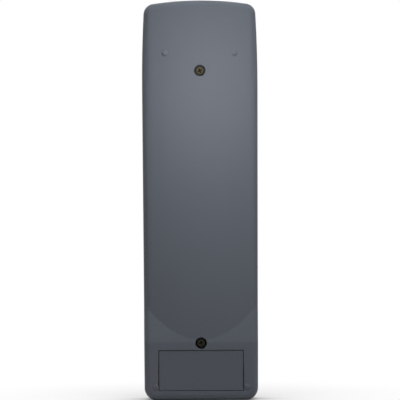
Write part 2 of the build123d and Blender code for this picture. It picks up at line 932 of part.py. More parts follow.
# Screws, one node for each kind
with BuildPart() as housing_screws:
    for height in screw_places:
        add(build_screw(
            rod, 0, height, screw_seat, screw_head_radius, screw_head_height,
            screw_core_radius, screw_length,
        ))
keep(housing_screws.part, "housing_screws")
with BuildPart() as board_screws:
    for side, height in board_screw_places:
        add(build_screw(
            stud, side * board_screw_across, height, board_back, board_screw_head_radius,
            board_screw_head_height, board_screw_radius, board_screw_length,
        ))
keep(board_screws.part, "board_screws")


def build_chip(across, height, size, thickness, pins):
    """A moulded chip on the board's back, with a row of legs down each side."""
    with BuildPart() as chip:
        with BuildSketch(level_plane(board_back - pin_standoff)):
            with Locations((across, height)):
                Rectangle(*size)
        extrude(amount=thickness, dir=BACKWARD)
        with BuildSketch(level_plane(board_back - solder_gap)):
            with Locations((across, height)):
                with GridLocations(size[0] + pin_reach, pin_pitch, 2, pins):
                    Rectangle(pin_reach, pin_width)
        extrude(amount=pin_standoff + 2 * pin_thickness, dir=BACKWARD)
    return chip.part


controller_height = controller_share * overall_length
memory_height = memory_share * overall_length
controller = build_chip(0, controller_height, controller_size, controller_thickness, controller_pins)
keep(controller, "controller_chip")
memory = build_chip(memory_across, memory_height, memory_size, memory_thickness, memory_pins)
keep(memory, "memory_chip")

with BuildPart() as resonator:
    with BuildSketch(level_plane(board_back - solder_gap)) as resonator_plan:
        with Locations((resonator_across, resonator_share * overall_length)):
            Rectangle(*resonator_size)
        chamfer(resonator_plan.vertices(), resonator_corner)
    extrude(amount=resonator_thickness, dir=BACKWARD)
keep(resonator.part, "resonator")

# Reservoir capacitor, lying along the board with its leads bent to it
with BuildPart() as reservoir_capacitor:
    can_level = board_back - solder_gap - capacitor_radius
    can_low = capacitor_share * overall_length - capacitor_length / 2
    add(post(capacitor_across, can_level, capacitor_radius, can_low, can_low + capacitor_length))
    for side in (-1, 1):
        across = capacitor_across + side * lead_spacing / 2
        bend_low = can_low - capacitor_lead_run
        bend_high = bend_low + 2 * lead_radius
        add(lead(across, can_level, bend_low, can_low))
        add(block(
            (across - lead_radius, can_level - lead_radius, bend_low),
            (across + lead_radius, board_back - solder_gap, bend_high),
        ))
keep(reservoir_capacitor.part, "reservoir_capacitor")

# Transistor that drives the emitter, flat side to the board
transistor_height = transistor_share * overall_length
with BuildPart() as driver_transistor:
    body_level = board_back - solder_gap - transistor_flat
    with BuildSketch(Plane.XY.offset(transistor_height - transistor_length / 2)):
        with Locations((transistor_across, body_level)):
            RegularPolygon(transistor_radius, hidden_sides)
        with Locations((transistor_across, board_back - solder_gap + transistor_radius)):
            Rectangle(4 * transistor_radius, 2 * transistor_radius, mode=Mode.SUBTRACT)
    extrude(amount=transistor_length)
    for side in (-1, 0, 1):
        leg_low = transistor_height - transistor_length / 2 - capacitor_lead_run
        across = transistor_across + side * pin_pitch
        leg_level = board_back - solder_gap - lead_radius
        add(lead(across, leg_level, leg_low, transistor_height))
keep(driver_transistor.part, "driver_transistor")

with BuildPart() as board_resistors:
    with BuildSketch(level_plane(board_back - solder_gap)):
        with Locations((resistor_across, resistor_share * overall_length)):
            with GridLocations(0, resistor_pitch, 1, resistor_count):
                Rectangle(*resistor_size)
    extrude(amount=resistor_thickness, dir=BACKWARD)
keep(board_resistors.part, "board_resistors")

# Infrared emitter, lying behind the board's top edge and facing the window
with BuildPart() as infrared_emitter:
    emitter_level = board_back - solder_gap - lead_radius
    rim_low = board_top + emitter_standoff
    dome_start = rim_low + emitter_length
    add(post(0, emitter_level, emitter_radius, rim_low, dome_start + emitter_radius))
    chamfer(infrared_emitter.faces().sort_by(Axis.Z)[-1].edges(), emitter_radius / 2)
    add(post(0, emitter_level, emitter_rim_radius, rim_low, rim_low + emitter_rim_thickness))
    for side in (-1, 1):
        add(lead(side * lead_spacing / 2, emitter_level, rim_low - lead_length, rim_low))
keep(infrared_emitter.part, "infrared_emitter")

# Indicator: a small lamp on the board, and the lens over it
with BuildPart() as indicator_lamp:
    with BuildSketch(level_plane(board_front)):
        with Locations((indicator_across, indicator_height)):
            Rectangle(lamp_base, lamp_base)
    extrude(amount=lamp_base_thickness, dir=FRONTWARD)
    add(stud(indicator_across, indicator_height, lamp_radius, board_front, board_front + lamp_height))
keep(indicator_lamp.part, "indicator_lamp")
with BuildPart() as indicator_lens:
    lens_front = front_face + lens_stand
    lens_back = front_inside - fit_gap - lens_flange_thickness
    add(stud(indicator_across, indicator_height, lens_radius, lens_back, lens_front, sides=small_sides))
    flange_front = front_inside - fit_gap
    add(stud(indicator_across, indicator_height, lens_flange_radius, lens_back, flange_front, is_room=True))
keep(indicator_lens.part, "indicator_lens")
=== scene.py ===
import json
from math import cos, pi, radians, sin

import bmesh
import bpy
from bpy.props import FloatProperty, FloatVectorProperty, IntProperty, PointerProperty
from bpy.types import NodeSocket, Operator, Panel, PropertyGroup, Scene
from mathutils import Matrix, Vector

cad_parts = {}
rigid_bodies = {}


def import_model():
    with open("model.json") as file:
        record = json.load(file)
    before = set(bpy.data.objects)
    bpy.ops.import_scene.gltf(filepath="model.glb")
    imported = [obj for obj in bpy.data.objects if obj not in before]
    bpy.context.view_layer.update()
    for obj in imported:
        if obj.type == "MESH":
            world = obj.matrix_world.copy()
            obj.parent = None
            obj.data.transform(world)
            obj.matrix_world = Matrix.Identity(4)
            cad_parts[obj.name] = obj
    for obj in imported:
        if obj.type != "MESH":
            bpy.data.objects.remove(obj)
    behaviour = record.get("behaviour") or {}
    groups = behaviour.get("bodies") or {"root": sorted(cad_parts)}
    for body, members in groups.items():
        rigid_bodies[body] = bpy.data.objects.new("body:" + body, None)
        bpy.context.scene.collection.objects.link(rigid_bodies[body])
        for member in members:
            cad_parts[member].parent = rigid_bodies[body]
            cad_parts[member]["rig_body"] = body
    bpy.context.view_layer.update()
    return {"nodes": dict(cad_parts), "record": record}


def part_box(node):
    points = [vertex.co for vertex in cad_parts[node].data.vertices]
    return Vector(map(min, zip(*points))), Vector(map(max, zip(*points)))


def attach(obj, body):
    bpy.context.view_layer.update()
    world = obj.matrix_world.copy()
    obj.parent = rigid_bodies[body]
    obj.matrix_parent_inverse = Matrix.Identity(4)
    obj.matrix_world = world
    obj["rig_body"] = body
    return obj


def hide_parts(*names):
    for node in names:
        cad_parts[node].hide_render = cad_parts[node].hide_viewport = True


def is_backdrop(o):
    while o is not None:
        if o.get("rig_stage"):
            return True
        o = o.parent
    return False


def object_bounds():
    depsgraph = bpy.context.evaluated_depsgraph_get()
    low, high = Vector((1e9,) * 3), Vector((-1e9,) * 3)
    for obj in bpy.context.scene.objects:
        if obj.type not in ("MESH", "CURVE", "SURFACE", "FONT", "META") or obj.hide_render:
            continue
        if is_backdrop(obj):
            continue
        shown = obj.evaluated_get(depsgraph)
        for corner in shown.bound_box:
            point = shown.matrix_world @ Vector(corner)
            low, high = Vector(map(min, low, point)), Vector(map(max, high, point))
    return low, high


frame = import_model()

bl_info = {
    "name": "Universal remote control",
    "version": (1, 0, 0),
    "blender": (4, 5, 0),
    "location": "View3D > Sidebar > Remote",
    "description": "Dresses a handheld remote control: shell, keys, signs, screws, cells and studio",
    "category": "Object",
}

NODES = frame["nodes"]
# Sizes are in metres. A millimetre is the unit in which small ones are written.
MM = 0.001
# Distance within which vertices are one
WELD = 0.001 * MM
# Turn up to which neighbouring faces are one flat area, and turn from which an edge is sharp
FLAT_ANGLE = radians(0.2)
SHARP_ANGLE = radians(32)


# Sizes and colours that a user may change
class ShellSettings(PropertyGroup):
    """Colours, roundings and grain of the shell"""

    back_colour: FloatVectorProperty(
        name="Back", description="Colour of the back shell", subtype="COLOR", size=3,
        default=(0.061, 0.068, 0.081), min=0, max=1)
    front_colour: FloatVectorProperty(
        name="Front", description="Colour of the key side", subtype="COLOR", size=3,
        default=(0.074, 0.081, 0.098), min=0, max=1)
    door_colour: FloatVectorProperty(
        name="Door", description="Colour of the battery door", subtype="COLOR", size=3,
        default=(0.059, 0.065, 0.076), min=0, max=1)
    window_colour: FloatVectorProperty(
        name="Window", description="Colour of the signal window", subtype="COLOR", size=3,
        default=(0.030, 0.006, 0.012), min=0, max=1)
    edge_round: FloatProperty(
        name="Edge rounding", description="Rounding of moulded edges", subtype="DISTANCE", unit="LENGTH",
        default=0.12 * MM, min=0, max=0.5 * MM, precision=5)
    foot_round: FloatProperty(
        name="Foot rounding", description="Rounding of the small feet on the back", subtype="DISTANCE",
        unit="LENGTH", default=0.45 * MM, min=0, max=1 * MM, precision=5)
    rim_round: FloatProperty(
        name="Front rim rounding", description="Rounding of the front's bevelled rim", subtype="DISTANCE",
        unit="LENGTH", default=0.85 * MM, min=0, max=1 * MM, precision=5)
    grain_depth: FloatProperty(
        name="Grain depth", description="Height of the moulded grain", subtype="DISTANCE", unit="LENGTH",
        default=0.012 * MM, min=0, max=0.1 * MM, precision=6)


class KeySettings(PropertyGroup):
    """Colours and shapes of the keys and their signs"""

    key_colour: FloatVectorProperty(
        name="Keys", description="Colour of most keys", subtype="COLOR", size=3,
        default=(0.42, 0.44, 0.47), min=0, max=1)
    device_colour: FloatVectorProperty(
        name="Device keys", description="Colour of the device keys", subtype="COLOR", size=3,
        default=(0.045, 0.050, 0.062), min=0, max=1)
    ring_colour: FloatVectorProperty(
        name="Direction keys", description="Colour of the direction ring", subtype="COLOR", size=3,
        default=(0.20, 0.215, 0.25), min=0, max=1)
    power_colour: FloatVectorProperty(
        name="Power key", description="Colour of the power key", subtype="COLOR", size=3,
        default=(0.42, 0.030, 0.024), min=0, max=1)
    dark_sign_colour: FloatVectorProperty(
        name="Dark signs", description="Ink on pale keys", subtype="COLOR", size=3,
        default=(0.018, 0.020, 0.024), min=0, max=1)
    pale_sign_colour: FloatVectorProperty(
        name="Pale signs", description="Ink on dark keys", subtype="COLOR", size=3,
        default=(0.80, 0.81, 0.82), min=0, max=1)
    corner_round: FloatProperty(
        name="Corner rounding", description="Rounding of a key's upright corners", subtype="DISTANCE",
        unit="LENGTH", default=0.45 * MM, min=0, max=1 * MM, precision=5)
    dish_depth: FloatProperty(
        name="Dish", description="Depth of the hollow in a key's top", subtype="DISTANCE", unit="LENGTH",
        default=0.16 * MM, min=0, max=0.4 * MM, precision=5)
    sign_thickness: FloatProperty(
        name="Ink thickness", description="Thickness of a printed sign", subtype="DISTANCE", unit="LENGTH",
        default=0.02 * MM, min=0.005 * MM, max=0.1 * MM, precision=6)


class InsideSettings(PropertyGroup):
    """Colours and sizes of the pieces inside"""

    board_colour: FloatVectorProperty(
        name="Board", description="Colour of the board's lacquer", subtype="COLOR", size=3,
        default=(0.012, 0.090, 0.038), min=0, max=1)
    sleeve_colour: FloatVectorProperty(
        name="Cell sleeve", description="Main colour of a cell's sleeve", subtype="COLOR", size=3,
        default=(0.030, 0.036, 0.050), min=0, max=1)
    band_colour: FloatVectorProperty(
        name="Cell band", description="Colour of the band at a cell's raised end", subtype="COLOR", size=3,
        default=(0.50, 0.30, 0.10), min=0, max=1)
    thread_pitch: FloatProperty(
        name="Thread pitch", description="Pitch of the housing screws", subtype="DISTANCE", unit="LENGTH",
        default=1.1 * MM, min=0.3 * MM, max=2 * MM, precision=5)


class StudioSettings(PropertyGroup):
    """Camera, lamps and floor"""

    photo_width: FloatProperty(
        name="Framed width", description="Width that the camera takes in at the remote", subtype="DISTANCE",
        unit="LENGTH", default=216.3 * MM, min=0.05, max=1, precision=4)
    camera_distance: FloatProperty(
        name="Camera distance", description="From the remote's middle to the camera", subtype="DISTANCE",
        unit="LENGTH", default=1.3, min=0.2, max=5)
    camera_roll: FloatProperty(
        name="Camera roll", description="Turn of the camera about its view line", subtype="ANGLE",
        default=radians(0.3), min=-pi, max=pi)
    key_light: FloatProperty(
        name="Main light", description="Power of the soft light before the back", unit="POWER",
        default=0.215, min=0, max=50)
    top_light: FloatProperty(
        name="Top light", description="Power of the light above the remote", unit="POWER",
        default=0.95, min=0, max=50)
    side_light: FloatProperty(
        name="Side light", description="Power of the light on the photo's right", unit="POWER",
        default=0.9, min=0, max=50)
    front_light: FloatProperty(
        name="Key side light", description="Power of the light over the keys", unit="POWER",
        default=4.6, min=0, max=50)
    sky_strength: FloatProperty(
        name="Room light", description="Strength of the even light of the room", default=0.08, min=0, max=2)
    floor_size: FloatProperty(
        name="Floor size", description="Length of the floor's side", subtype="DISTANCE", unit="LENGTH",
        default=6.0, min=1, max=20)
    round_steps: IntProperty(
        name="Round steps", description="Segments of a turned piece", default=48, min=12, max=128)


# Node helpers
COLOUR = "NodeSocketColor"
NUMBER = "NodeSocketFloat"
# A Mix node's two colour inputs and its colour output
MIX_INPUTS = (6, 7)
MIX_OUTPUT = 2


def feed(tree, socket, value):
    """Links an input to another node's output, or sets its plain value."""
    if isinstance(value, NodeSocket):
        tree.links.new(value, socket)
    else:
        socket.default_value = value


def add_node(tree, kind, **values):
    """A node with its properties and inputs set or linked."""
    node = tree.nodes.new(kind)
    for key, value in values.items():
        if key in node.inputs:
            feed(tree, node.inputs[key], value)
        else:
            setattr(node, key, value)
    return node


def new_group(name, inputs, outputs):
    """An empty shader node group with named sockets, and its input and output nodes."""
    group = bpy.data.node_groups.new(name, "ShaderNodeTree")
    for label, kind, value in inputs:
        socket = group.interface.new_socket(label, in_out="INPUT", socket_type=kind)
        socket.default_value = value
    for label, kind in outputs:
        group.interface.new_socket(label, in_out="OUTPUT", socket_type=kind)
    return group, group.nodes.new("NodeGroupInput"), group.nodes.new("NodeGroupOutput")


def math_node(tree, operation, first, second, clamp=False):
    """The result of a Math node whose two inputs are sockets or numbers."""
    node = add_node(tree, "ShaderNodeMath", operation=operation, use_clamp=clamp)
    feed(tree, node.inputs[0], first)
    feed(tree, node.inputs[1], second)
    return node.outputs[0]


def mix_colours(tree, share, first, second, blend="MIX"):
    """A colour mix by a mask or a plain share."""
    node = add_node(tree, "ShaderNodeMix", data_type="RGBA", blend_type=blend, Factor=share)
    for index, value in zip(MIX_INPUTS, (first, second)):
        feed(tree, node.inputs[index], value)
    return node.outputs[MIX_OUTPUT]


def mix_shaders(tree, mask, first, second):
    """The first shader where a mask is dark, and the second where it is bright."""
    mix = tree.nodes.new("ShaderNodeMixShader")
    for socket, source in zip(mix.inputs, (mask, first, second)):
        tree.links.new(source, socket)
    return mix.outputs[0]


def object_place(tree):
    """The place on a piece, in its object's coordinates."""
    return add_node(tree, "ShaderNodeTexCoord").outputs["Object"]


# Scale of the grain's coarse pebbles, as a share of the fine ones' scale
COARSE_SCALE = 0.42


def build_grain_group():
    """Moulded grain: a pebbled relief of two sizes."""
    group, entry, leave = new_group(
        "moulded_grain", [("Scale", NUMBER, 2600.0), ("Coarse share", NUMBER, 0.35)], [("Height", NUMBER)])
    given = entry.outputs
    place = object_place(group)
    fine = add_node(
        group, "ShaderNodeTexNoise", Vector=place, Scale=given["Scale"], Detail=2.0, Roughness=0.6)
    coarse = add_node(
        group, "ShaderNodeTexVoronoi", feature="SMOOTH_F1", Smoothness=0.6, Vector=place,
        Scale=math_node(group, "MULTIPLY", given["Scale"], COARSE_SCALE))
    weighed = math_node(group, "MULTIPLY", coarse.outputs["Distance"], given["Coarse share"])
    group.links.new(math_node(group, "ADD", fine.outputs["Fac"], weighed), leave.inputs["Height"])
    return group


# Middle value of a noise
NOISE_MIDDLE = 0.5
# Dust: its colour, the scale of its specks, the level from which one shows, and its roughness
DUST_COLOUR = (0.62, 0.60, 0.56, 1.0)
SPECK_SCALE = 900.0
SPECK_LEVEL = 0.66
DUST_ROUGHNESS = 2.0
# Rubbed patches: scale as a share of the slow tone changes' scale, and how much smoother they are
RUB_SCALE = 2.7
RUB_GLOSS = 3.0


def build_handling_group():
    """Use of a piece: slow tone changes, rubbed patches and thin dust."""
    group, entry, leave = new_group(
        "handled_surface",
        [
            ("Colour", COLOUR, (0.5, 0.5, 0.5, 1)), ("Roughness", NUMBER, 0.5), ("Tone change", NUMBER, 0.06),
            ("Rubbed", NUMBER, 0.08), ("Dust", NUMBER, 0.03), ("Patch scale", NUMBER, 38.0),
        ],
        [("Colour", COLOUR), ("Roughness", NUMBER)],
    )
    given = entry.outputs
    place = object_place(group)
    slow = add_node(
        group, "ShaderNodeTexNoise", Vector=place, Scale=given["Patch scale"], Detail=3.0, Roughness=0.55)
    centred = math_node(group, "SUBTRACT", slow.outputs["Fac"], NOISE_MIDDLE)
    change = math_node(group, "MULTIPLY", centred, given["Tone change"])
    brightness = math_node(group, "ADD", change, 1.0)
    tint = add_node(group, "ShaderNodeCombineColor", Red=brightness, Green=brightness, Blue=brightness)
    toned = mix_colours(group, 1.0, given["Colour"], tint.outputs["Color"], "MULTIPLY")
    specks = add_node(
        group, "ShaderNodeTexNoise", Vector=place, Scale=SPECK_SCALE, Detail=4.0, Roughness=0.7)
    speck_mask = math_node(group, "GREATER_THAN", specks.outputs["Fac"], SPECK_LEVEL)
    dust = math_node(group, "MULTIPLY", speck_mask, given["Dust"])
    patches = add_node(
        group, "ShaderNodeTexNoise", Vector=place, Detail=5.0, Roughness=0.65, Distortion=0.8,
        Scale=math_node(group, "MULTIPLY", given["Patch scale"], RUB_SCALE))
    patch = math_node(group, "SUBTRACT", patches.outputs["Fac"], NOISE_MIDDLE, clamp=True)
    rubbed = math_node(group, "MULTIPLY", patch, given["Rubbed"])
    smoother = math_node(group, "MULTIPLY", rubbed, RUB_GLOSS)
    rough = math_node(group, "SUBTRACT", given["Roughness"], smoother)
    dust_rough = math_node(group, "MULTIPLY", dust, DUST_ROUGHNESS)
    group.links.new(mix_colours(group, dust, toned, DUST_COLOUR), leave.inputs["Colour"])
    group.links.new(math_node(group, "ADD", rough, dust_rough), leave.inputs["Roughness"])
    return group


# Scratches: turn and stretch of their pattern, and the level from which one shows
SCRATCH_TURN = (0.3, 0.9, 0.5)
SCRATCH_STRETCH = (1.0, 1.0, 14.0)
SCRATCH_LEVEL = 0.66


def build_scratch_group():
    """Fine slanting scratches, as a height."""
    group, entry, leave = new_group(
        "fine_scratches", [("Scale", NUMBER, 90.0), ("Amount", NUMBER, 0.5)], [("Height", NUMBER)])
    stretched = add_node(
        group, "ShaderNodeMapping", Vector=object_place(group), Rotation=SCRATCH_TURN, Scale=SCRATCH_STRETCH)
    lines = add_node(
        group, "ShaderNodeTexNoise", Vector=stretched.outputs["Vector"], Scale=entry.outputs["Scale"],
        Detail=6.0, Roughness=0.75)
    above = math_node(group, "SUBTRACT", lines.outputs["Fac"], SCRATCH_LEVEL, clamp=True)
    depth = math_node(group, "MULTIPLY", above, entry.outputs["Amount"])
    group.links.new(math_node(group, "SUBTRACT", 1.0, depth), leave.inputs["Height"])
    return group


# Node groups and finished materials by name, filled when the materials are built
GROUPS = {}
FINISHES = {}
# Inputs of the handling group that a finish may set
HANDLING = ("Tone change", "Rubbed", "Dust")


def surface(name, colour, roughness, finish):
    """A material: a toned and handled base, with grain or scratches, and the shader's own plain values."""
    material = bpy.data.materials.new(name + "_finish")
    material.use_nodes = True
    tree = material.node_tree
    shader = tree.nodes["Principled BSDF"]
    for socket, value in finish["shader"].items():
        shader.inputs[socket].default_value = value
    handled = add_node(
        tree, "ShaderNodeGroup", node_tree=GROUPS["handled"], Colour=(*colour, 1.0), Roughness=roughness,
        **{socket: finish[socket] for socket in HANDLING if socket in finish})
    if "pattern" in finish:
        tree.links.new(finish["pattern"](tree), handled.inputs["Colour"])
    relief = add_node(
        tree, "ShaderNodeGroup", node_tree=GROUPS[finish["relief"]], Scale=finish["relief_scale"])
    bump = add_node(
        tree, "ShaderNodeBump", Strength=finish["bump"], Distance=finish["depth"],
        Height=relief.outputs["Height"])
    tree.links.new(handled.outputs["Colour"], shader.inputs["Base Color"])
    tree.links.new(handled.outputs["Roughness"], shader.inputs["Roughness"])
    tree.links.new(bump.outputs["Normal"], shader.inputs["Normal"])
    return material


# The board's pattern: scale and width of its tracks, brightness of its other fields and of its tracks against
# the lacquer's, and scale, radius and colour of its solder dots
TRACK_SCALE = 210.0
TRACK_WIDTH = 0.016
FIELD_SHADE = 0.85
TRACK_SHADE = 1.9
SOLDER_SCALE = 260.0
SOLDER_RADIUS = 0.13
SOLDER_COLOUR = (0.62, 0.60, 0.55, 1.0)


def board_tracks(tree):
    """Lacquer with paler tracks under it, and solder dots."""
    lacquer = Vector(bpy.context.scene.remote_inside.board_colour)
    turned = add_node(tree, "ShaderNodeMapping", Vector=object_place(tree), Rotation=(pi / 2, 0, 0))
    plan = turned.outputs["Vector"]
    tracks = add_node(
        tree, "ShaderNodeTexBrick", Vector=plan, Scale=TRACK_SCALE, Color1=(*lacquer, 1),
        Color2=(*(FIELD_SHADE * lacquer), 1), Mortar=(*(TRACK_SHADE * lacquer), 1),
        **{"Mortar Size": TRACK_WIDTH})
    dots = add_node(tree, "ShaderNodeTexVoronoi", Vector=plan, Scale=SOLDER_SCALE)
    solder = math_node(tree, "LESS_THAN", dots.outputs["Distance"], SOLDER_RADIUS)
    return mix_colours(tree, solder, tracks.outputs["Color"], SOLDER_COLOUR)


# Depth of the scratches in gloss and metal
SCRATCH_DEPTH = 0.012 * MM


def build_materials():
    """One material for each of the record's slots, and for inks, cell bands and the lower screw's steel
    darkened as painted shade.
    """
    scene = bpy.context.scene
    shell, keys, inside = scene.remote_shell, scene.remote_keys, scene.remote_inside
    GROUPS.update(
        grain=build_grain_group(), handled=build_handling_group(), scratches=build_scratch_group())
    satin = {
        "relief": "grain", "relief_scale": 2600.0, "bump": 0.30, "depth": shell.grain_depth,
        "Tone change": 0.05, "Rubbed": 0.10, "Dust": 0.02,
        "shader": {"IOR": 1.46, "Specular IOR Level": 0.22},
    }
    gloss = {
        "relief": "scratches", "relief_scale": 70.0, "bump": 0.10, "depth": SCRATCH_DEPTH,
        "Tone change": 0.03, "Rubbed": 0.02,
        "shader": {"IOR": 1.49, "Coat Weight": 0.3, "Coat Roughness": 0.08},
    }
    rubber = {
        "relief": "grain", "relief_scale": 3800.0, "bump": 0.25, "depth": 0.010 * MM,
        "Tone change": 0.05, "Rubbed": 0.16, "Dust": 0.05,
        "shader": {"IOR": 1.41, "Specular IOR Level": 0.35},
    }
    metal = {
        "relief": "scratches", "relief_scale": 260.0, "bump": 0.3, "depth": SCRATCH_DEPTH,
        "Tone change": 0.12, "Rubbed": 0.2,
        "shader": {"Metallic": 1.0},
    }
    resin = dict(gloss, shader={"IOR": 1.53, "Transmission Weight": 0.85})
    dark_steel = dict(metal, shader={"Metallic": 0.9, "Specular IOR Level": 0.4})
    ink = dict(rubber, Rubbed=0.3)
    # Name, colour, roughness and finish
    table = (
        ("rear_plastic", shell.back_colour, 0.46, satin),
        ("front_plastic", shell.front_colour, 0.44, satin),
        ("door_plastic", shell.door_colour, 0.48, satin),
        ("window_plastic", shell.window_colour, 0.14, gloss),
        ("screw_steel", (0.098, 0.086, 0.055), 0.55, dark_steel),
        # Painted shade: the lower screw's steel, darker than the upper's for the shade of its deep recess
        ("blackened_steel", (0.046, 0.044, 0.031), 0.6, dark_steel),
        # Painted shade: near-black colour for the faces inside the screws' cross recesses
        ("recess_dirt", (0.006, 0.006, 0.005), 0.8, dark_steel),
        ("board_screw_steel", (0.55, 0.55, 0.56), 0.3, metal),
        ("sheet_rubber", (0.085, 0.09, 0.10), 0.7, rubber),
        ("board_laminate", inside.board_colour, 0.35, dict(gloss, pattern=board_tracks)),
        ("cell_sleeve", inside.sleeve_colour, 0.22, gloss),
        ("cell_band", inside.band_colour, 0.22, gloss),
        ("contact_steel", (0.66, 0.63, 0.58), 0.26, metal),
        ("emitter_resin", (0.30, 0.42, 0.75), 0.05, resin),
        ("lamp_resin", (0.75, 0.05, 0.03), 0.08, resin),
        ("lens_plastic", (0.45, 0.02, 0.015), 0.10, gloss),
        ("chip_epoxy", (0.016, 0.016, 0.018), 0.6, satin),
        ("resonator_ceramic", (0.55, 0.16, 0.02), 0.3, gloss),
        ("can_sleeve", (0.012, 0.02, 0.075), 0.25, gloss),
        ("resistor_ceramic", (0.03, 0.03, 0.032), 0.5, satin),
        ("key_rubber", keys.key_colour, 0.58, rubber),
        ("power_rubber", keys.power_colour, 0.55, rubber),
        ("device_rubber", keys.device_colour, 0.55, rubber),
        ("ring_rubber", keys.ring_colour, 0.55, rubber),
        ("dark_ink", keys.dark_sign_colour, 0.6, ink),
        ("pale_ink", keys.pale_sign_colour, 0.6, ink),
    )
    for name, colour, roughness, finish in table:
        FINISHES[name] = surface(name, colour, roughness, finish)


# Mesh helpers
# Segments of an edge's rounding
EDGE_SEGMENTS = 2
# Strength of the weighted normals, at which the largest faces count most
NORMAL_WEIGHT = 100


def body_of(node):
    """The body that a node rides on."""
    return NODES[node]["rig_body"]


def slot_of(node):
    """The record's material slot of a node."""
    for entry in frame["record"]["subparts"]:
        if entry["node"] == node:
            return entry["material_slot"]
    raise ValueError(f"the record has no node {node}")


def merged_form(node):
    """A bmesh of a CAD node, its loose triangles welded and its flat areas joined."""
    form = bmesh.new()
    form.from_mesh(NODES[node].data)
    bmesh.ops.remove_doubles(form, verts=form.verts[:], dist=WELD)
    bmesh.ops.dissolve_limit(form, angle_limit=FLAT_ANGLE, verts=form.verts[:], edges=form.edges[:])
    return form


def round_edges(form, edges, width, segments):
    """Rounds edges of a bmesh."""
    bmesh.ops.bevel(
        form, geom=edges, offset=width, segments=segments, profile=0.5, affect="EDGES", material=-1,
        clamp_overlap=True)


def extrude_all(form):
    """Extrudes all faces of a bmesh, and returns the new vertices."""
    grown = bmesh.ops.extrude_face_region(form, geom=form.faces[:])
    return [item for item in grown["geom"] if isinstance(item, bmesh.types.BMVert)]


def spin_profile(form, profile, steps, rise=0.0):
    """Turns a line of (radius, height) points once about local Z, rising with each step."""
    rim = [form.verts.new((radius, 0, height)) for radius, height in profile]
    edges = [form.edges.new(pair) for pair in zip(rim, rim[1:])]
    bmesh.ops.spin(
        form, geom=rim + edges, cent=(0, 0, 0), axis=(0, 0, 1), dvec=(0, 0, rise), angle=2 * pi,
        steps=steps, use_merge=not rise, use_normal_flip=False, use_duplicate=False)


def turned_form(profile):
    """A closed bmesh turned about local Z from a list of (radius, height) points."""
    form = bmesh.new()
    spin_profile(form, profile, bpy.context.scene.remote_studio.round_steps)
    bmesh.ops.remove_doubles(form, verts=form.verts[:], dist=WELD)
    bmesh.ops.recalc_face_normals(form, faces=form.faces[:])
    return form


def make_object(form, name, finishes):
    """An object at the origin from a bmesh, with its materials."""
    mesh = bpy.data.meshes.new(name)
    form.to_mesh(mesh)
    form.free()
    piece = bpy.data.objects.new(name, mesh)
    bpy.context.scene.collection.objects.link(piece)
    for entry in finishes:
        mesh.materials.append(FINISHES[entry])
    return piece


def shade(piece, rounding=0.0):
    """Rounds the sharp edges where a rounding is given, and shades smooth with flat areas kept flat."""
    mesh = piece.data
    mesh.shade_smooth()
    mesh.set_sharp_from_angle(angle=SHARP_ANGLE)
    if rounding > 0:
        bevel = piece.modifiers.new("edge rounding", "BEVEL")
        bevel.limit_method = "ANGLE"
        bevel.angle_limit = SHARP_ANGLE
        bevel.width = rounding
        bevel.segments = EDGE_SEGMENTS
        bevel.use_clamp_overlap = False
        bevel.miter_outer = "MITER_SHARP"
    even = piece.modifiers.new("even shading", "WEIGHTED_NORMAL")
    even.mode = "FACE_AREA"
    even.weight = NORMAL_WEIGHT
    even.keep_sharp = rounding <= 0


def place_piece(piece, body, nodes=()):
    """Lets a piece ride on its body and stand for its nodes."""
    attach(piece, body)
    if nodes:
        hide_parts(*nodes)


def dress_form(form, node, name, rounding):
    """A rounded piece from a reworked copy of a node, which stands for the node."""
    slot = slot_of(node)
    piece = make_object(form, name, [slot])
    shade(piece, rounding)
    place_piece(piece, body_of(node), [node])


def dress_node(node):
    """The CAD node itself with its slot's material."""
    slot = slot_of(node)
    mesh = NODES[node].data
    mesh.materials.clear()
    mesh.materials.append(FINISHES[slot])


def key_nodes():
    """The keys and rockers, in the order of their names."""
    return [node for node in sorted(NODES) if node.endswith(("_key", "_rocker"))]


# A key's sign lies in its own plane: first axis to the reader's right, second up, third out of the key
TO_KEY_SIDE = Matrix(((-1, 0, 0, 0), (0, 0, 1, 0), (0, 1, 0, 0), (0, 0, 0, 1)))


def key_middle(node):
    """Middle of a key's box across and along the remote, at the level of the key's top."""
    low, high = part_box(node)
    return Vector(((low.x + high.x) / 2, high.y, (low.z + high.z) / 2))


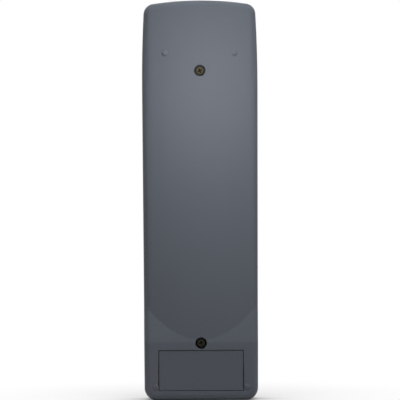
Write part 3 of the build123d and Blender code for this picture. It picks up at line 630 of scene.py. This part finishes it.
# Signs as small plain shapes, in millimetres: kind, right, up, size and turn in degrees
SIGNS = {
    "rewind_key": (("arrow", -0.2, 0, 1.9, 180), ("arrow", -2.2, 0, 1.9, 180)),
    "play_key": (("arrow", 0, 0, 2.4, 0),),
    "forward_key": (("arrow", 0.2, 0, 1.9, 0), ("arrow", 2.2, 0, 1.9, 0)),
    "record_key": (("dot", 0, 0, 1.1, 0),),
    "stop_key": (("bar", 0, 0, (2.0, 2.0), 0),),
    "pause_key": (("bar", -0.8, 0, (0.7, 2.2), 0), ("bar", 0.8, 0, (0.7, 2.2), 0)),
    "menu_key": (
        ("bar", 0, 0.9, (3.0, 0.45), 0), ("bar", 0, 0, (3.0, 0.45), 0), ("bar", 0, -0.9, (3.0, 0.45), 0),
    ),
    "guide_key": (
        ("bar", -0.8, 0.7, (1.2, 1.0), 0), ("bar", 0.8, 0.7, (1.2, 1.0), 0),
        ("bar", -0.8, -0.7, (1.2, 1.0), 0), ("bar", 0.8, -0.7, (1.2, 1.0), 0),
    ),
    "info_key": (("dot", 0, 1.1, 0.35, 0), ("bar", 0, -0.35, (0.55, 1.8), 0)),
    "exit_key": (("bar", 0, 0, (3.0, 0.5), 45), ("bar", 0, 0, (3.0, 0.5), -45)),
    "up_key": (("arrow", 0, 0, 2.0, 90),),
    "down_key": (("arrow", 0, 0, 2.0, -90),),
    "left_key": (("arrow", 0, 0, 2.0, 180),),
    "right_key": (("arrow", 0, 0, 2.0, 0),),
    "ok_key": (("ring", 0, 0, 1.5, 0),),
    "mute_key": (
        ("bar", -0.9, 0, (0.9, 1.1), 0), ("arrow", -0.3, 0, 1.9, 180), ("bar", 1.3, 0, (2.2, 0.4), 55),
    ),
    "last_key": (("arrow", -0.9, 0, 1.8, 180), ("bar", 0.9, 0, (2.2, 0.5), 0)),
    "dash_key": (("bar", 0, 0, (2.2, 0.6), 0),),
    "enter_key": (
        ("arrow", -1.0, -0.4, 1.6, 180), ("bar", 0.5, -0.4, (2.0, 0.45), 0),
        ("bar", 1.4, 0.3, (0.45, 1.7), 0),
    ),
    "power_key": (("ring", 0, -0.2, 1.9, 0), ("bar", 0, 1.3, (0.55, 2.2), 0)),
    "volume_rocker": (
        ("bar", 0, 6.2, (2.6, 0.6), 0), ("bar", 0, 6.2, (0.6, 2.6), 0), ("bar", 0, -6.2, (2.6, 0.6), 0),
    ),
    "channel_rocker": (("arrow", 0, 6.2, 2.1, 90), ("arrow", 0, -6.2, 2.1, -90)),
}
# A ring's width as a share of its radius, and the segments of rings and dots
RING_SHARE = 0.26
RING_SEGMENTS = 40
DOT_SEGMENTS = 24
# An arrow's length in radii of the circle round it
ARROW_LENGTH = 1.5
# Pitch and radius of the dots on the device keys, in millimetres
DOT_PITCH = 1.7
DOT_RADIUS = 0.45
# A digit's size in millimetres, and the share of it by which its strokes are widened
DIGIT_SIZE = 5.2
DIGIT_WEIGHT = 0.012
# Growth of the signs that are neither digits nor on a rocker
SIGN_GROWTH = 1.3
# Where the sign sits on each direction key, from the middle of its box towards the ring's rim, in millimetres
RING_SHIFT = {"up_key": (0, 0.6), "down_key": (0, -0.6), "left_key": (-0.6, 0), "right_key": (0.6, 0)}
# Slots of the dark keys, which carry pale signs
DARK_SLOTS = ("device_rubber", "ring_rubber", "power_rubber")


def sign_shape(form, kind, right, up, size, turn):
    """Adds one flat shape to a sign, in millimetres."""
    angle = radians(turn)
    if kind == "bar":
        made = bmesh.ops.create_grid(form, x_segments=1, y_segments=1, size=0.5)["verts"]
        bmesh.ops.scale(form, vec=(*size, 1), verts=made)
    elif kind == "arrow":
        made = bmesh.ops.create_circle(form, cap_ends=True, segments=3, radius=size / ARROW_LENGTH)["verts"]
        angle -= pi / 2
    elif kind == "dot":
        made = bmesh.ops.create_circle(form, cap_ends=True, segments=DOT_SEGMENTS, radius=size)["verts"]
    else:
        rim = bmesh.ops.create_circle(form, cap_ends=True, segments=RING_SEGMENTS, radius=size)["verts"]
        disc = rim[0].link_faces[0]
        band = bmesh.ops.inset_region(
            form, faces=[disc], thickness=size * RING_SHARE, use_boundary=True, use_even_offset=True)
        bmesh.ops.delete(form, geom=[disc], context="FACES")
        made = list({vert for face in band["faces"] for vert in face.verts})
    bmesh.ops.rotate(form, verts=made, cent=(0, 0, 0), matrix=Matrix.Rotation(angle, 3, "Z"))
    bmesh.ops.translate(form, verts=made, vec=(right, up, 0))


def digit_form(text):
    """A printed digit as a flat bmesh, in millimetres."""
    curve = bpy.data.curves.new("digit", "FONT")
    curve.body = text
    curve.size = DIGIT_SIZE
    curve.align_x = "CENTER"
    curve.align_y = "CENTER"
    curve.offset = DIGIT_SIZE * DIGIT_WEIGHT
    writer = bpy.data.objects.new("digit", curve)
    bpy.context.scene.collection.objects.link(writer)
    graph = bpy.context.evaluated_depsgraph_get()
    mesh = bpy.data.meshes.new_from_object(writer.evaluated_get(graph))
    form = bmesh.new()
    form.from_mesh(mesh)
    bpy.data.objects.remove(writer)
    bpy.data.curves.remove(curve)
    bpy.data.meshes.remove(mesh)
    return form


def sign_form(node):
    """The flat sign of a key, in millimetres."""
    words = node.split("_")
    if words[0] == "digit":
        return digit_form(words[1])
    if words[0] == "device":
        count = int(words[1])
        shapes = [("dot", (i - (count - 1) / 2) * DOT_PITCH, 0, DOT_RADIUS, 0) for i in range(count)]
    else:
        shapes = SIGNS[node]
    form = bmesh.new()
    for shape in shapes:
        sign_shape(form, *shape)
    return form


def build_sign(node):
    """The printed sign of one key, riding on the key."""
    keys = bpy.context.scene.remote_keys
    middle = key_middle(node)
    form = sign_form(node)
    right, up = RING_SHIFT.get(node, (0, 0))
    move = Matrix.Translation((middle.x - right * MM, middle.y - keys.dish_depth, middle.z + up * MM))
    growth = 1.0 if node.startswith("digit") or node.endswith("rocker") else SIGN_GROWTH
    thickness = keys.sign_thickness / MM / growth
    bmesh.ops.translate(form, verts=extrude_all(form), vec=(0, 0, thickness))
    bmesh.ops.recalc_face_normals(form, faces=form.faces[:])
    form.transform(move @ TO_KEY_SIDE @ Matrix.Scale(growth * MM, 4))
    ink = "pale_ink" if slot_of(node) in DARK_SLOTS else "dark_ink"
    piece = make_object(form, node.removesuffix("_key") + "_sign", [ink])
    place_piece(piece, body_of(node))


# Operators, in the order in which they are called
class REMOTE_OT_materials(Operator):
    """Builds the shared node groups and a material for each finish"""

    bl_idname = "remote.materials"
    bl_label = "Materials"

    def execute(self, context):
        build_materials()
        return {"FINISHED"}


# The small feet on the back: their number and sides, the share to which their ends shrink, the least and
# greatest area of such an end, and the segments of its rounding
FOOT_COUNT = 4
FOOT_SIDES = 12
FOOT_TAPER = 0.62
FOOT_AREAS = (6 * MM * MM, 10 * MM * MM)
FOOT_SEGMENTS = 5


def is_foot_cap(face):
    """True for the flat end of one of the back's small feet."""
    if len(face.verts) != FOOT_SIDES or face.normal.y > -cos(SHARP_ANGLE):
        return False
    return FOOT_AREAS[0] < face.calc_area() < FOOT_AREAS[1]


class REMOTE_OT_back_shell(Operator):
    """Dresses the back shell with its heel, recesses, bay and feet"""

    bl_idname = "remote.back_shell"
    bl_label = "Back shell"

    def execute(self, context):
        shell = context.scene.remote_shell
        form = merged_form("rear_housing")
        caps = [face for face in form.faces if is_foot_cap(face)]
        if len(caps) != FOOT_COUNT:
            raise RuntimeError(f"the back shell shows {len(caps)} feet")
        for face in caps:
            centre = Matrix.Translation(-face.calc_center_median())
            bmesh.ops.scale(form, vec=(FOOT_TAPER, 1, FOOT_TAPER), space=centre, verts=face.verts[:])
        rims = list({edge for face in caps for edge in face.edges})
        round_edges(form, rims, shell.foot_round, FOOT_SEGMENTS)
        dress_form(form, "rear_housing", "back_shell", shell.edge_round)
        return {"FINISHED"}


# The front's bevelled rim: depth below the face in which its edges lie, in roundings, their least and
# greatest turn, and the segments of their rounding
RIM_REACH = 2
RIM_ANGLES = (radians(30), radians(60))
RIM_SEGMENTS = 3


def is_front_rim(edge, face_level, depth):
    """True for the two edges of the bevel that runs round the front."""
    first, second = (vert.co for vert in edge.verts)
    if min(first.y, second.y) < face_level - depth or abs(first.y - second.y) > WELD:
        return False
    return RIM_ANGLES[0] < edge.calc_face_angle(0) < RIM_ANGLES[1]


class REMOTE_OT_front_shell(Operator):
    """Dresses the key side of the shell"""

    bl_idname = "remote.front_shell"
    bl_label = "Front shell"

    def execute(self, context):
        shell = context.scene.remote_shell
        form = merged_form("front_housing")
        face_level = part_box("front_housing")[1].y
        depth = RIM_REACH * shell.rim_round
        rim = [edge for edge in form.edges if is_front_rim(edge, face_level, depth)]
        if not rim:
            raise RuntimeError("the front shell has no bevel to round")
        round_edges(form, rim, shell.rim_round, RIM_SEGMENTS)
        dress_form(form, "front_housing", "front_shell", shell.edge_round)
        return {"FINISHED"}


class REMOTE_OT_door(Operator):
    """Dresses the battery door with its tongues and latch"""

    bl_idname = "remote.door"
    bl_label = "Battery door"

    def execute(self, context):
        rounding = context.scene.remote_shell.edge_round
        dress_form(merged_form("battery_door"), "battery_door", "door_panel", rounding)
        return {"FINISHED"}


class REMOTE_OT_window(Operator):
    """Dresses the signal window, the indicator and the two lamps behind them"""

    bl_idname = "remote.window"
    bl_label = "Window and lamps"

    def execute(self, context):
        rounding = context.scene.remote_shell.edge_round
        dress_form(merged_form("infrared_window"), "infrared_window", "signal_window", rounding)
        for node in ("indicator_lens", "indicator_lamp", "infrared_emitter"):
            dress_node(node)
        return {"FINISHED"}


# A key's corner edges: least slope along the depth, least turn, depth below the top in which they end, and
# the segments of their rounding
CORNER_SLOPE = 0.3
CORNER_ANGLE = radians(28)
CAP_BEVEL = 0.9 * MM
CORNER_SEGMENTS = 3
# Width of the slope round a key's hollowed top, in depths of the hollow
DISH_SLOPE = 2


def is_cap_corner(edge, top_level):
    """True for the corners that run from a key's side up its bevel."""
    low, high = sorted((vert.co for vert in edge.verts), key=lambda place: place.y)
    slope = (high - low).normalized().y
    if slope <= CORNER_SLOPE or high.y <= top_level - CAP_BEVEL:
        return False
    return edge.calc_face_angle(0) > CORNER_ANGLE


class REMOTE_OT_keys(Operator):
    """Dresses every key and rocker with a hollowed top"""

    bl_idname = "remote.keys"
    bl_label = "Keys"

    def execute(self, context):
        scene = context.scene
        keys = scene.remote_keys
        for node in key_nodes():
            form = merged_form(node)
            top_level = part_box(node)[1].y
            corners = [edge for edge in form.edges if is_cap_corner(edge, top_level)]
            round_edges(form, corners, keys.corner_round, CORNER_SEGMENTS)
            top = max(form.faces, key=lambda face: face.calc_center_median().y)
            bmesh.ops.inset_region(
                form, faces=[top], thickness=keys.dish_depth * DISH_SLOPE, depth=-keys.dish_depth)
            name = node.replace("_key", "_cap").replace("_rocker", "_rocker_cap")
            dress_form(form, node, name, scene.remote_shell.edge_round)
        return {"FINISHED"}


class REMOTE_OT_signs(Operator):
    """Prints the digits and plain signs on the keys"""

    bl_idname = "remote.signs"
    bl_label = "Signs"

    def execute(self, context):
        for node in key_nodes():
            build_sign(node)
        return {"FINISHED"}


# A housing screw in shares of its head's radius
SCREW_SHARES = {"head": 0.65, "flat": 0.72, "core": 0.40, "thread": 0.47, "slot": 0.66, "slot_width": 0.24}
# Its crown and recess in shares of the head's height, the levels between which the recess's faces lie, and
# the steps of the crown's curve
CROWN_SHARE = 0.62
RECESS_SHARE = 0.7
RECESS_LEVELS = (0.08, 0.95)
CROWN_STEPS = 6
# Place of the recess's painted shade among a screw's materials
RECESS_INDEX = 1
# The driver's cross: cells across the grid that it is made from, the share to which it narrows, and its turn
CROSS_CELLS = 3
CROSS_TAPER = 0.55
CROSS_TURN = radians(23)
# A thread: steps in a turn, its root in shares of the core's radius, its crest and foot in shares of a pitch
THREAD_STEPS = 20
ROOT_SHARE = 0.97
CREST_SHARE = 0.25
FOOT_SHARE = 0.5


def cross_tool(reach, width, depth):
    """A tapered cross that cuts a recess, from a depth outside a head's crown to the same depth inside."""
    form = bmesh.new()
    bmesh.ops.create_grid(form, x_segments=CROSS_CELLS, y_segments=CROSS_CELLS, size=reach)
    corners = [face for face in form.faces if min(map(abs, face.calc_center_median().xy)) > reach / 2]
    bmesh.ops.delete(form, geom=corners, context="FACES")
    narrow = CROSS_CELLS / 2 * width / reach
    for axis, shares in ((0, (narrow, 1, 1)), (1, (1, narrow, 1))):
        arm = [vert for vert in form.verts if abs(vert.co[axis]) < reach / 2]
        bmesh.ops.scale(form, vec=shares, verts=arm)
    bottom = extrude_all(form)
    bmesh.ops.translate(form, verts=form.verts[:], vec=(0, 0, -depth))
    bmesh.ops.translate(form, verts=bottom, vec=(0, 0, 2 * depth))
    bmesh.ops.scale(form, vec=(CROSS_TAPER, CROSS_TAPER, 1), verts=bottom)
    bmesh.ops.rotate(form, verts=form.verts[:], cent=(0, 0, 0), matrix=Matrix.Rotation(CROSS_TURN, 3, "Z"))
    bmesh.ops.recalc_face_normals(form, faces=form.faces[:])
    return form


def cut_recess(piece, reach, width, head):
    """A bmesh of a screw with its driver's cross cut out, whose faces get a near-black painted shade."""
    cutter = make_object(cross_tool(reach, width, head * RECESS_SHARE), "cross_tool", [])
    cut = piece.modifiers.new("cross recess", "BOOLEAN")
    cut.operation = "DIFFERENCE"
    cut.solver = "EXACT"
    cut.object = cutter
    graph = bpy.context.evaluated_depsgraph_get()
    finished = bpy.data.meshes.new_from_object(piece.evaluated_get(graph))
    piece.modifiers.clear()
    form = bmesh.new()
    form.from_mesh(finished)
    bpy.data.objects.remove(cutter)
    bpy.data.meshes.remove(finished)
    recess = []
    for face in form.faces:
        middle = face.calc_center_median()
        if RECESS_LEVELS[0] * head < middle.z < RECESS_LEVELS[1] * head and middle.xy.length < reach:
            recess.append(face)
            # The cross recess's faces get near-black painted shade.
            face.material_index = RECESS_INDEX
    if not recess:
        raise RuntimeError(f"{piece.name} has no cross recess")
    return form


def add_thread(form, core, crest, start, length):
    """Winds a thread round a shaft along local Z."""
    pitch = bpy.context.scene.remote_inside.thread_pitch
    root = core * ROOT_SHARE
    turns = int((length - start) / pitch)
    points = []
    for index in range(turns):
        foot = start + index * pitch
        points += [(root, foot), (crest, foot + CREST_SHARE * pitch), (root, foot + FOOT_SHARE * pitch)]
    points.append((root, start + turns * pitch))
    spin_profile(form, points, THREAD_STEPS, rise=pitch / THREAD_STEPS)


def build_screw(name, height, head_radius, back, front, finish):
    """One pan-head screw lying along the depth, its cross recess facing the back."""
    sizes = {part: head_radius * share for part, share in SCREW_SHARES.items()}
    head, core = sizes["head"], sizes["core"]
    length = front - back
    profile = [(0.0, 0.0)]
    for index in range(CROWN_STEPS + 1):
        turn = index / CROWN_STEPS * pi / 2
        radius = sizes["flat"] + (head_radius - sizes["flat"]) * sin(turn)
        profile.append((radius, head * CROWN_SHARE * (1 - cos(turn))))
    profile += [(head_radius, head), (core, head), (core, length - core), (0.0, length)]
    piece = make_object(turned_form(profile), name, [finish, "recess_dirt"])
    form = cut_recess(piece, sizes["slot"], sizes["slot_width"], head)
    add_thread(form, core, sizes["thread"], head, length - 2 * core)
    form.transform(Matrix(((1, 0, 0, 0), (0, 0, 1, back), (0, 1, 0, height), (0, 0, 0, 1))))
    bmesh.ops.recalc_face_normals(form, faces=form.faces[:])
    form.to_mesh(piece.data)
    form.free()
    shade(piece)
    place_piece(piece, "housing")


class REMOTE_OT_screws(Operator):
    """Makes the housing screws with domed heads, cross recesses and threads"""

    bl_idname = "remote.screws"
    bl_label = "Screws"

    def execute(self, context):
        low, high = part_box("housing_screws")
        head_radius = (high.x - low.x) / 2
        # The lower screw's darker steel is painted shade.
        screws = (
            ("upper", high.z - head_radius, "screw_steel"), ("lower", low.z + head_radius, "blackened_steel"),
        )
        for label, height, finish in screws:
            build_screw(f"{label}_housing_screw", height, head_radius, low.y, high.y, finish)
        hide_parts("housing_screws")
        dress_node("board_screws")
        return {"FINISHED"}


# A cell in shares of its length: nub, band, and the sleeve's fold, dip and lip at both ends
CELL_LENGTHS = {"nub": 0.020, "band": 0.30, "fold": 0.012, "dip": 0.004, "lip": 0.003}
# A cell in shares of its radius: nub, flat end's floor and dip, other end's collar, sleeve's rim and lip
CELL_RADII = {"nub": 0.37, "floor": 0.86, "dip": 0.90, "collar": 0.88, "rim": 0.92, "lip": 0.97}
# A nub in shares of its radius: foot, top and height of the rounding
NUB_SHARES = {"foot": 1.35, "top": 0.85, "rounding": 0.2}
# A cell's materials, and the places of its band's and its metal ends' among them
CELL_FINISHES = ("cell_sleeve", "cell_band", "contact_steel")
BAND_INDEX = 1
END_INDEX = 2


def cell_profile(radius, length):
    """A cell's outline from the middle of its flat end to that of its nub."""
    along = {part: length * share for part, share in CELL_LENGTHS.items()}
    out = {part: radius * share for part, share in CELL_RADII.items()}
    nub = {part: out["nub"] * share for part, share in NUB_SHARES.items()}
    shoulder = length - along["nub"]
    return [
        (0.0, 0.0), (out["floor"], 0.0), (out["dip"], along["dip"]), (out["rim"], 0.0),
        (out["lip"], along["lip"]), (radius, along["fold"]), (radius, length - along["band"]),
        (radius, shoulder - along["fold"]), (out["lip"], shoulder - along["lip"]),
        (out["rim"], shoulder - along["dip"]), (out["collar"], shoulder - along["fold"]),
        (nub["foot"], shoulder - along["fold"]), (out["nub"], shoulder),
        (out["nub"], length - nub["rounding"]), (nub["top"], length), (0.0, length),
    ]


def build_cell(node, side):
    """One dry cell along X, its raised end towards a side."""
    low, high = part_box(node)
    radius = (high.y - low.y) / 2
    length = high.x - low.x
    form = turned_form(cell_profile(radius, length))
    for face in form.faces:
        middle = face.calc_center_median()
        if middle.xy.length < radius * CELL_RADII["rim"]:
            face.material_index = END_INDEX
        elif middle.z > length * (1 - CELL_LENGTHS["band"]):
            face.material_index = BAND_INDEX
    start = low.x if side > 0 else high.x
    centre = (low + high) / 2
    form.transform(Matrix(((0, 0, side, start), (0, 1, 0, centre.y), (-side, 0, 0, centre.z), (0, 0, 0, 1))))
    bmesh.ops.recalc_face_normals(form, faces=form.faces[:])
    piece = make_object(form, node + "_dressed", CELL_FINISHES)
    shade(piece)
    place_piece(piece, body_of(node), [node])


class REMOTE_OT_cells(Operator):
    """Makes the two dry cells with their sleeves and metal ends"""

    bl_idname = "remote.cells"
    bl_label = "Cells"

    def execute(self, context):
        build_cell("upper_cell", 1)
        build_cell("lower_cell", -1)
        return {"FINISHED"}


# Inner nodes that keep their CAD shape
INSIDE_NODES = (
    "main_board", "keypad_sheet", "positive_contact", "negative_contact", "bridge_contact", "controller_chip",
    "memory_chip", "resonator", "reservoir_capacitor", "driver_transistor", "board_resistors",
)


class REMOTE_OT_inside(Operator):
    """Gives the board, its parts, the contacts and the keypad sheet their materials"""

    bl_idname = "remote.inside"
    bl_label = "Inside"

    def execute(self, context):
        for node in INSIDE_NODES:
            dress_node(node)
        return {"FINISHED"}


WHITE = (1, 1, 1)
ROOM_COLOUR = (0.95, 0.97, 1.0, 1)
FLOOR_PAINT = {"Base Color": (0.72, 0.72, 0.72, 1), "Roughness": 0.9, "Specular IOR Level": 0.0}
# Distance from the remote within which the camera sees the floor darkened by painted shade
PAINTED_SHADE_REACH = 0.12
# Each lamp's name, the setting with its power, its place, target and size in millimetres, and its colour
LAMPS = (
    ("main_light", "key_light", (7.525, -108.75, 182.75), (0, -12, 116.1), (129, 53.75), WHITE),
    ("top_light", "top_light", (12.9, -108.75, 430), (0, 0, 182.75), (43, 32.25), WHITE),
    ("side_light", "side_light", (450, -300, 160), (0, 0, 107.5), (200, 400), (1, 0.99, 0.97)),
    ("key_side_light", "front_light", (-250, 550, 450), (0, 0, 107.5), (450, 350), WHITE),
)
# The camera's sensor in millimetres, its far limit, and how far the photograph's middle lies to the side
SENSOR_WIDTH = 36.0
CLIP_END = 50
PHOTO_SHIFT = -0.2 * MM


def white_to_camera(tree, shaded):
    """Plain white for what the camera, gloss and clear pieces show, and the shaded result for the rest."""
    rays = tree.nodes.new("ShaderNodeLightPath").outputs
    seen = math_node(tree, "MAXIMUM", rays["Is Camera Ray"], rays["Is Glossy Ray"])
    seen = math_node(tree, "MAXIMUM", seen, rays["Is Transmission Ray"])
    white = add_node(tree, "ShaderNodeBackground", Color=(*WHITE, 1), Strength=1.0)
    return mix_shaders(tree, seen, shaded, white.outputs[0])


def build_room(strength):
    """A world of even light that looks white."""
    world = bpy.data.worlds.new("room")
    world.use_nodes = True
    tree = world.node_tree
    even = tree.nodes["Background"]
    even.inputs["Color"].default_value = ROOM_COLOUR
    even.inputs["Strength"].default_value = strength
    tree.links.new(white_to_camera(tree, even.outputs[0]), tree.nodes["World Output"].inputs["Surface"])
    bpy.context.scene.world = world


def build_floor(size):
    """A pale floor that shows white to the camera, with painted shade close to the remote."""
    form = bmesh.new()
    bmesh.ops.create_grid(form, x_segments=1, y_segments=1, size=size / 2)
    floor = make_object(form, "floor", [])
    floor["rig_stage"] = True
    paint = bpy.data.materials.new("floor_paint")
    paint.use_nodes = True
    tree = paint.node_tree
    shader = tree.nodes["Principled BSDF"]
    for socket, value in FLOOR_PAINT.items():
        shader.inputs[socket].default_value = value
    # Painted shade: the camera sees an emission coloured by an occlusion node, white in the open and darker
    # close to the remote
    contact = add_node(tree, "ShaderNodeAmbientOcclusion", Distance=PAINTED_SHADE_REACH)
    white = add_node(tree, "ShaderNodeEmission", Color=contact.outputs["Color"])
    seen = tree.nodes.new("ShaderNodeLightPath").outputs["Is Camera Ray"]
    shown = mix_shaders(tree, seen, shader.outputs[0], white.outputs[0])
    tree.links.new(shown, tree.nodes["Material Output"].inputs["Surface"])
    floor.data.materials.append(paint)


def area_light(name, place, target, size, power, colour):
    """A soft rectangular lamp aimed at a point, which neither the camera nor gloss shows."""
    lamp = bpy.data.lights.new(name, "AREA")
    lamp.shape = "RECTANGLE"
    lamp.size, lamp.size_y = size
    lamp.energy = power
    lamp.color = colour
    holder = bpy.data.objects.new(name, lamp)
    holder.location = place
    holder.rotation_mode = "QUATERNION"
    holder.rotation_quaternion = (target - place).to_track_quat("-Z", "Y")
    holder.visible_camera = False
    holder.visible_glossy = False
    bpy.context.scene.collection.objects.link(holder)
    holder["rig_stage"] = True


def build_camera(studio):
    """The photograph's camera, level with the remote's middle."""
    low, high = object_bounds()
    camera = bpy.data.cameras.new("photo_camera")
    camera.sensor_width = SENSOR_WIDTH
    camera.sensor_fit = "HORIZONTAL"
    camera.lens = SENSOR_WIDTH * studio.camera_distance / studio.photo_width
    camera.clip_end = CLIP_END
    holder = bpy.data.objects.new("photo_camera", camera)
    holder.location = (PHOTO_SHIFT, -studio.camera_distance, (low.z + high.z) / 2)
    holder.rotation_euler = (pi / 2, studio.camera_roll, 0)
    bpy.context.scene.collection.objects.link(holder)
    bpy.context.scene.camera = holder


class REMOTE_OT_stage(Operator):
    """Makes the floor, the lights, the white room and the camera of the photograph"""

    bl_idname = "remote.stage"
    bl_label = "Studio"

    def execute(self, context):
        studio = context.scene.remote_studio
        build_floor(studio.floor_size)
        build_room(studio.sky_strength)
        for name, setting, place, target, size, colour in LAMPS:
            place, target, size = (MM * Vector(value) for value in (place, target, size))
            area_light(name, place, target, size, getattr(studio, setting), colour)
        build_camera(studio)
        context.scene.view_settings.view_transform = "Standard"
        return {"FINISHED"}


class REMOTE_PT_panel(Panel):
    """Lists the operators and settings of the remote control"""

    bl_idname = "REMOTE_PT_panel"
    bl_label = "Remote control"
    bl_space_type = "VIEW_3D"
    bl_region_type = "UI"
    bl_category = "Remote"

    def draw(self, context):
        column = self.layout.column()
        for operator in OPERATORS:
            column.operator(operator.bl_idname)
        for name in SETTINGS:
            box = self.layout.box()
            group = getattr(context.scene, name)
            for entry in group.bl_rna.properties:
                if entry.identifier not in ("name", "rna_type"):
                    box.prop(group, entry.identifier)


# What register registers, and the scene's properties that hold the settings
OPERATORS = (
    REMOTE_OT_materials, REMOTE_OT_back_shell, REMOTE_OT_front_shell, REMOTE_OT_door, REMOTE_OT_window,
    REMOTE_OT_keys, REMOTE_OT_signs, REMOTE_OT_screws, REMOTE_OT_cells, REMOTE_OT_inside, REMOTE_OT_stage,
)
SETTINGS = {
    "remote_shell": ShellSettings, "remote_keys": KeySettings, "remote_inside": InsideSettings,
    "remote_studio": StudioSettings,
}


def register():
    """Registers the classes and gives the scene its settings."""
    for group in (*SETTINGS.values(), *OPERATORS, REMOTE_PT_panel):
        bpy.utils.register_class(group)
    for name, group in SETTINGS.items():
        setattr(Scene, name, PointerProperty(type=group))


def unregister():
    """Takes away the settings and the classes."""
    for name in SETTINGS:
        delattr(Scene, name)
    for group in reversed((*SETTINGS.values(), *OPERATORS, REMOTE_PT_panel)):
        bpy.utils.unregister_class(group)


def main():
    """Builds the remote and its studio."""
    register()
    bpy.ops.remote.materials()
    bpy.ops.remote.back_shell()
    bpy.ops.remote.front_shell()
    bpy.ops.remote.door()
    bpy.ops.remote.window()
    bpy.ops.remote.keys()
    bpy.ops.remote.signs()
    bpy.ops.remote.screws()
    bpy.ops.remote.cells()
    bpy.ops.remote.inside()
    bpy.ops.remote.stage()


if __name__ == "__main__":
    main()
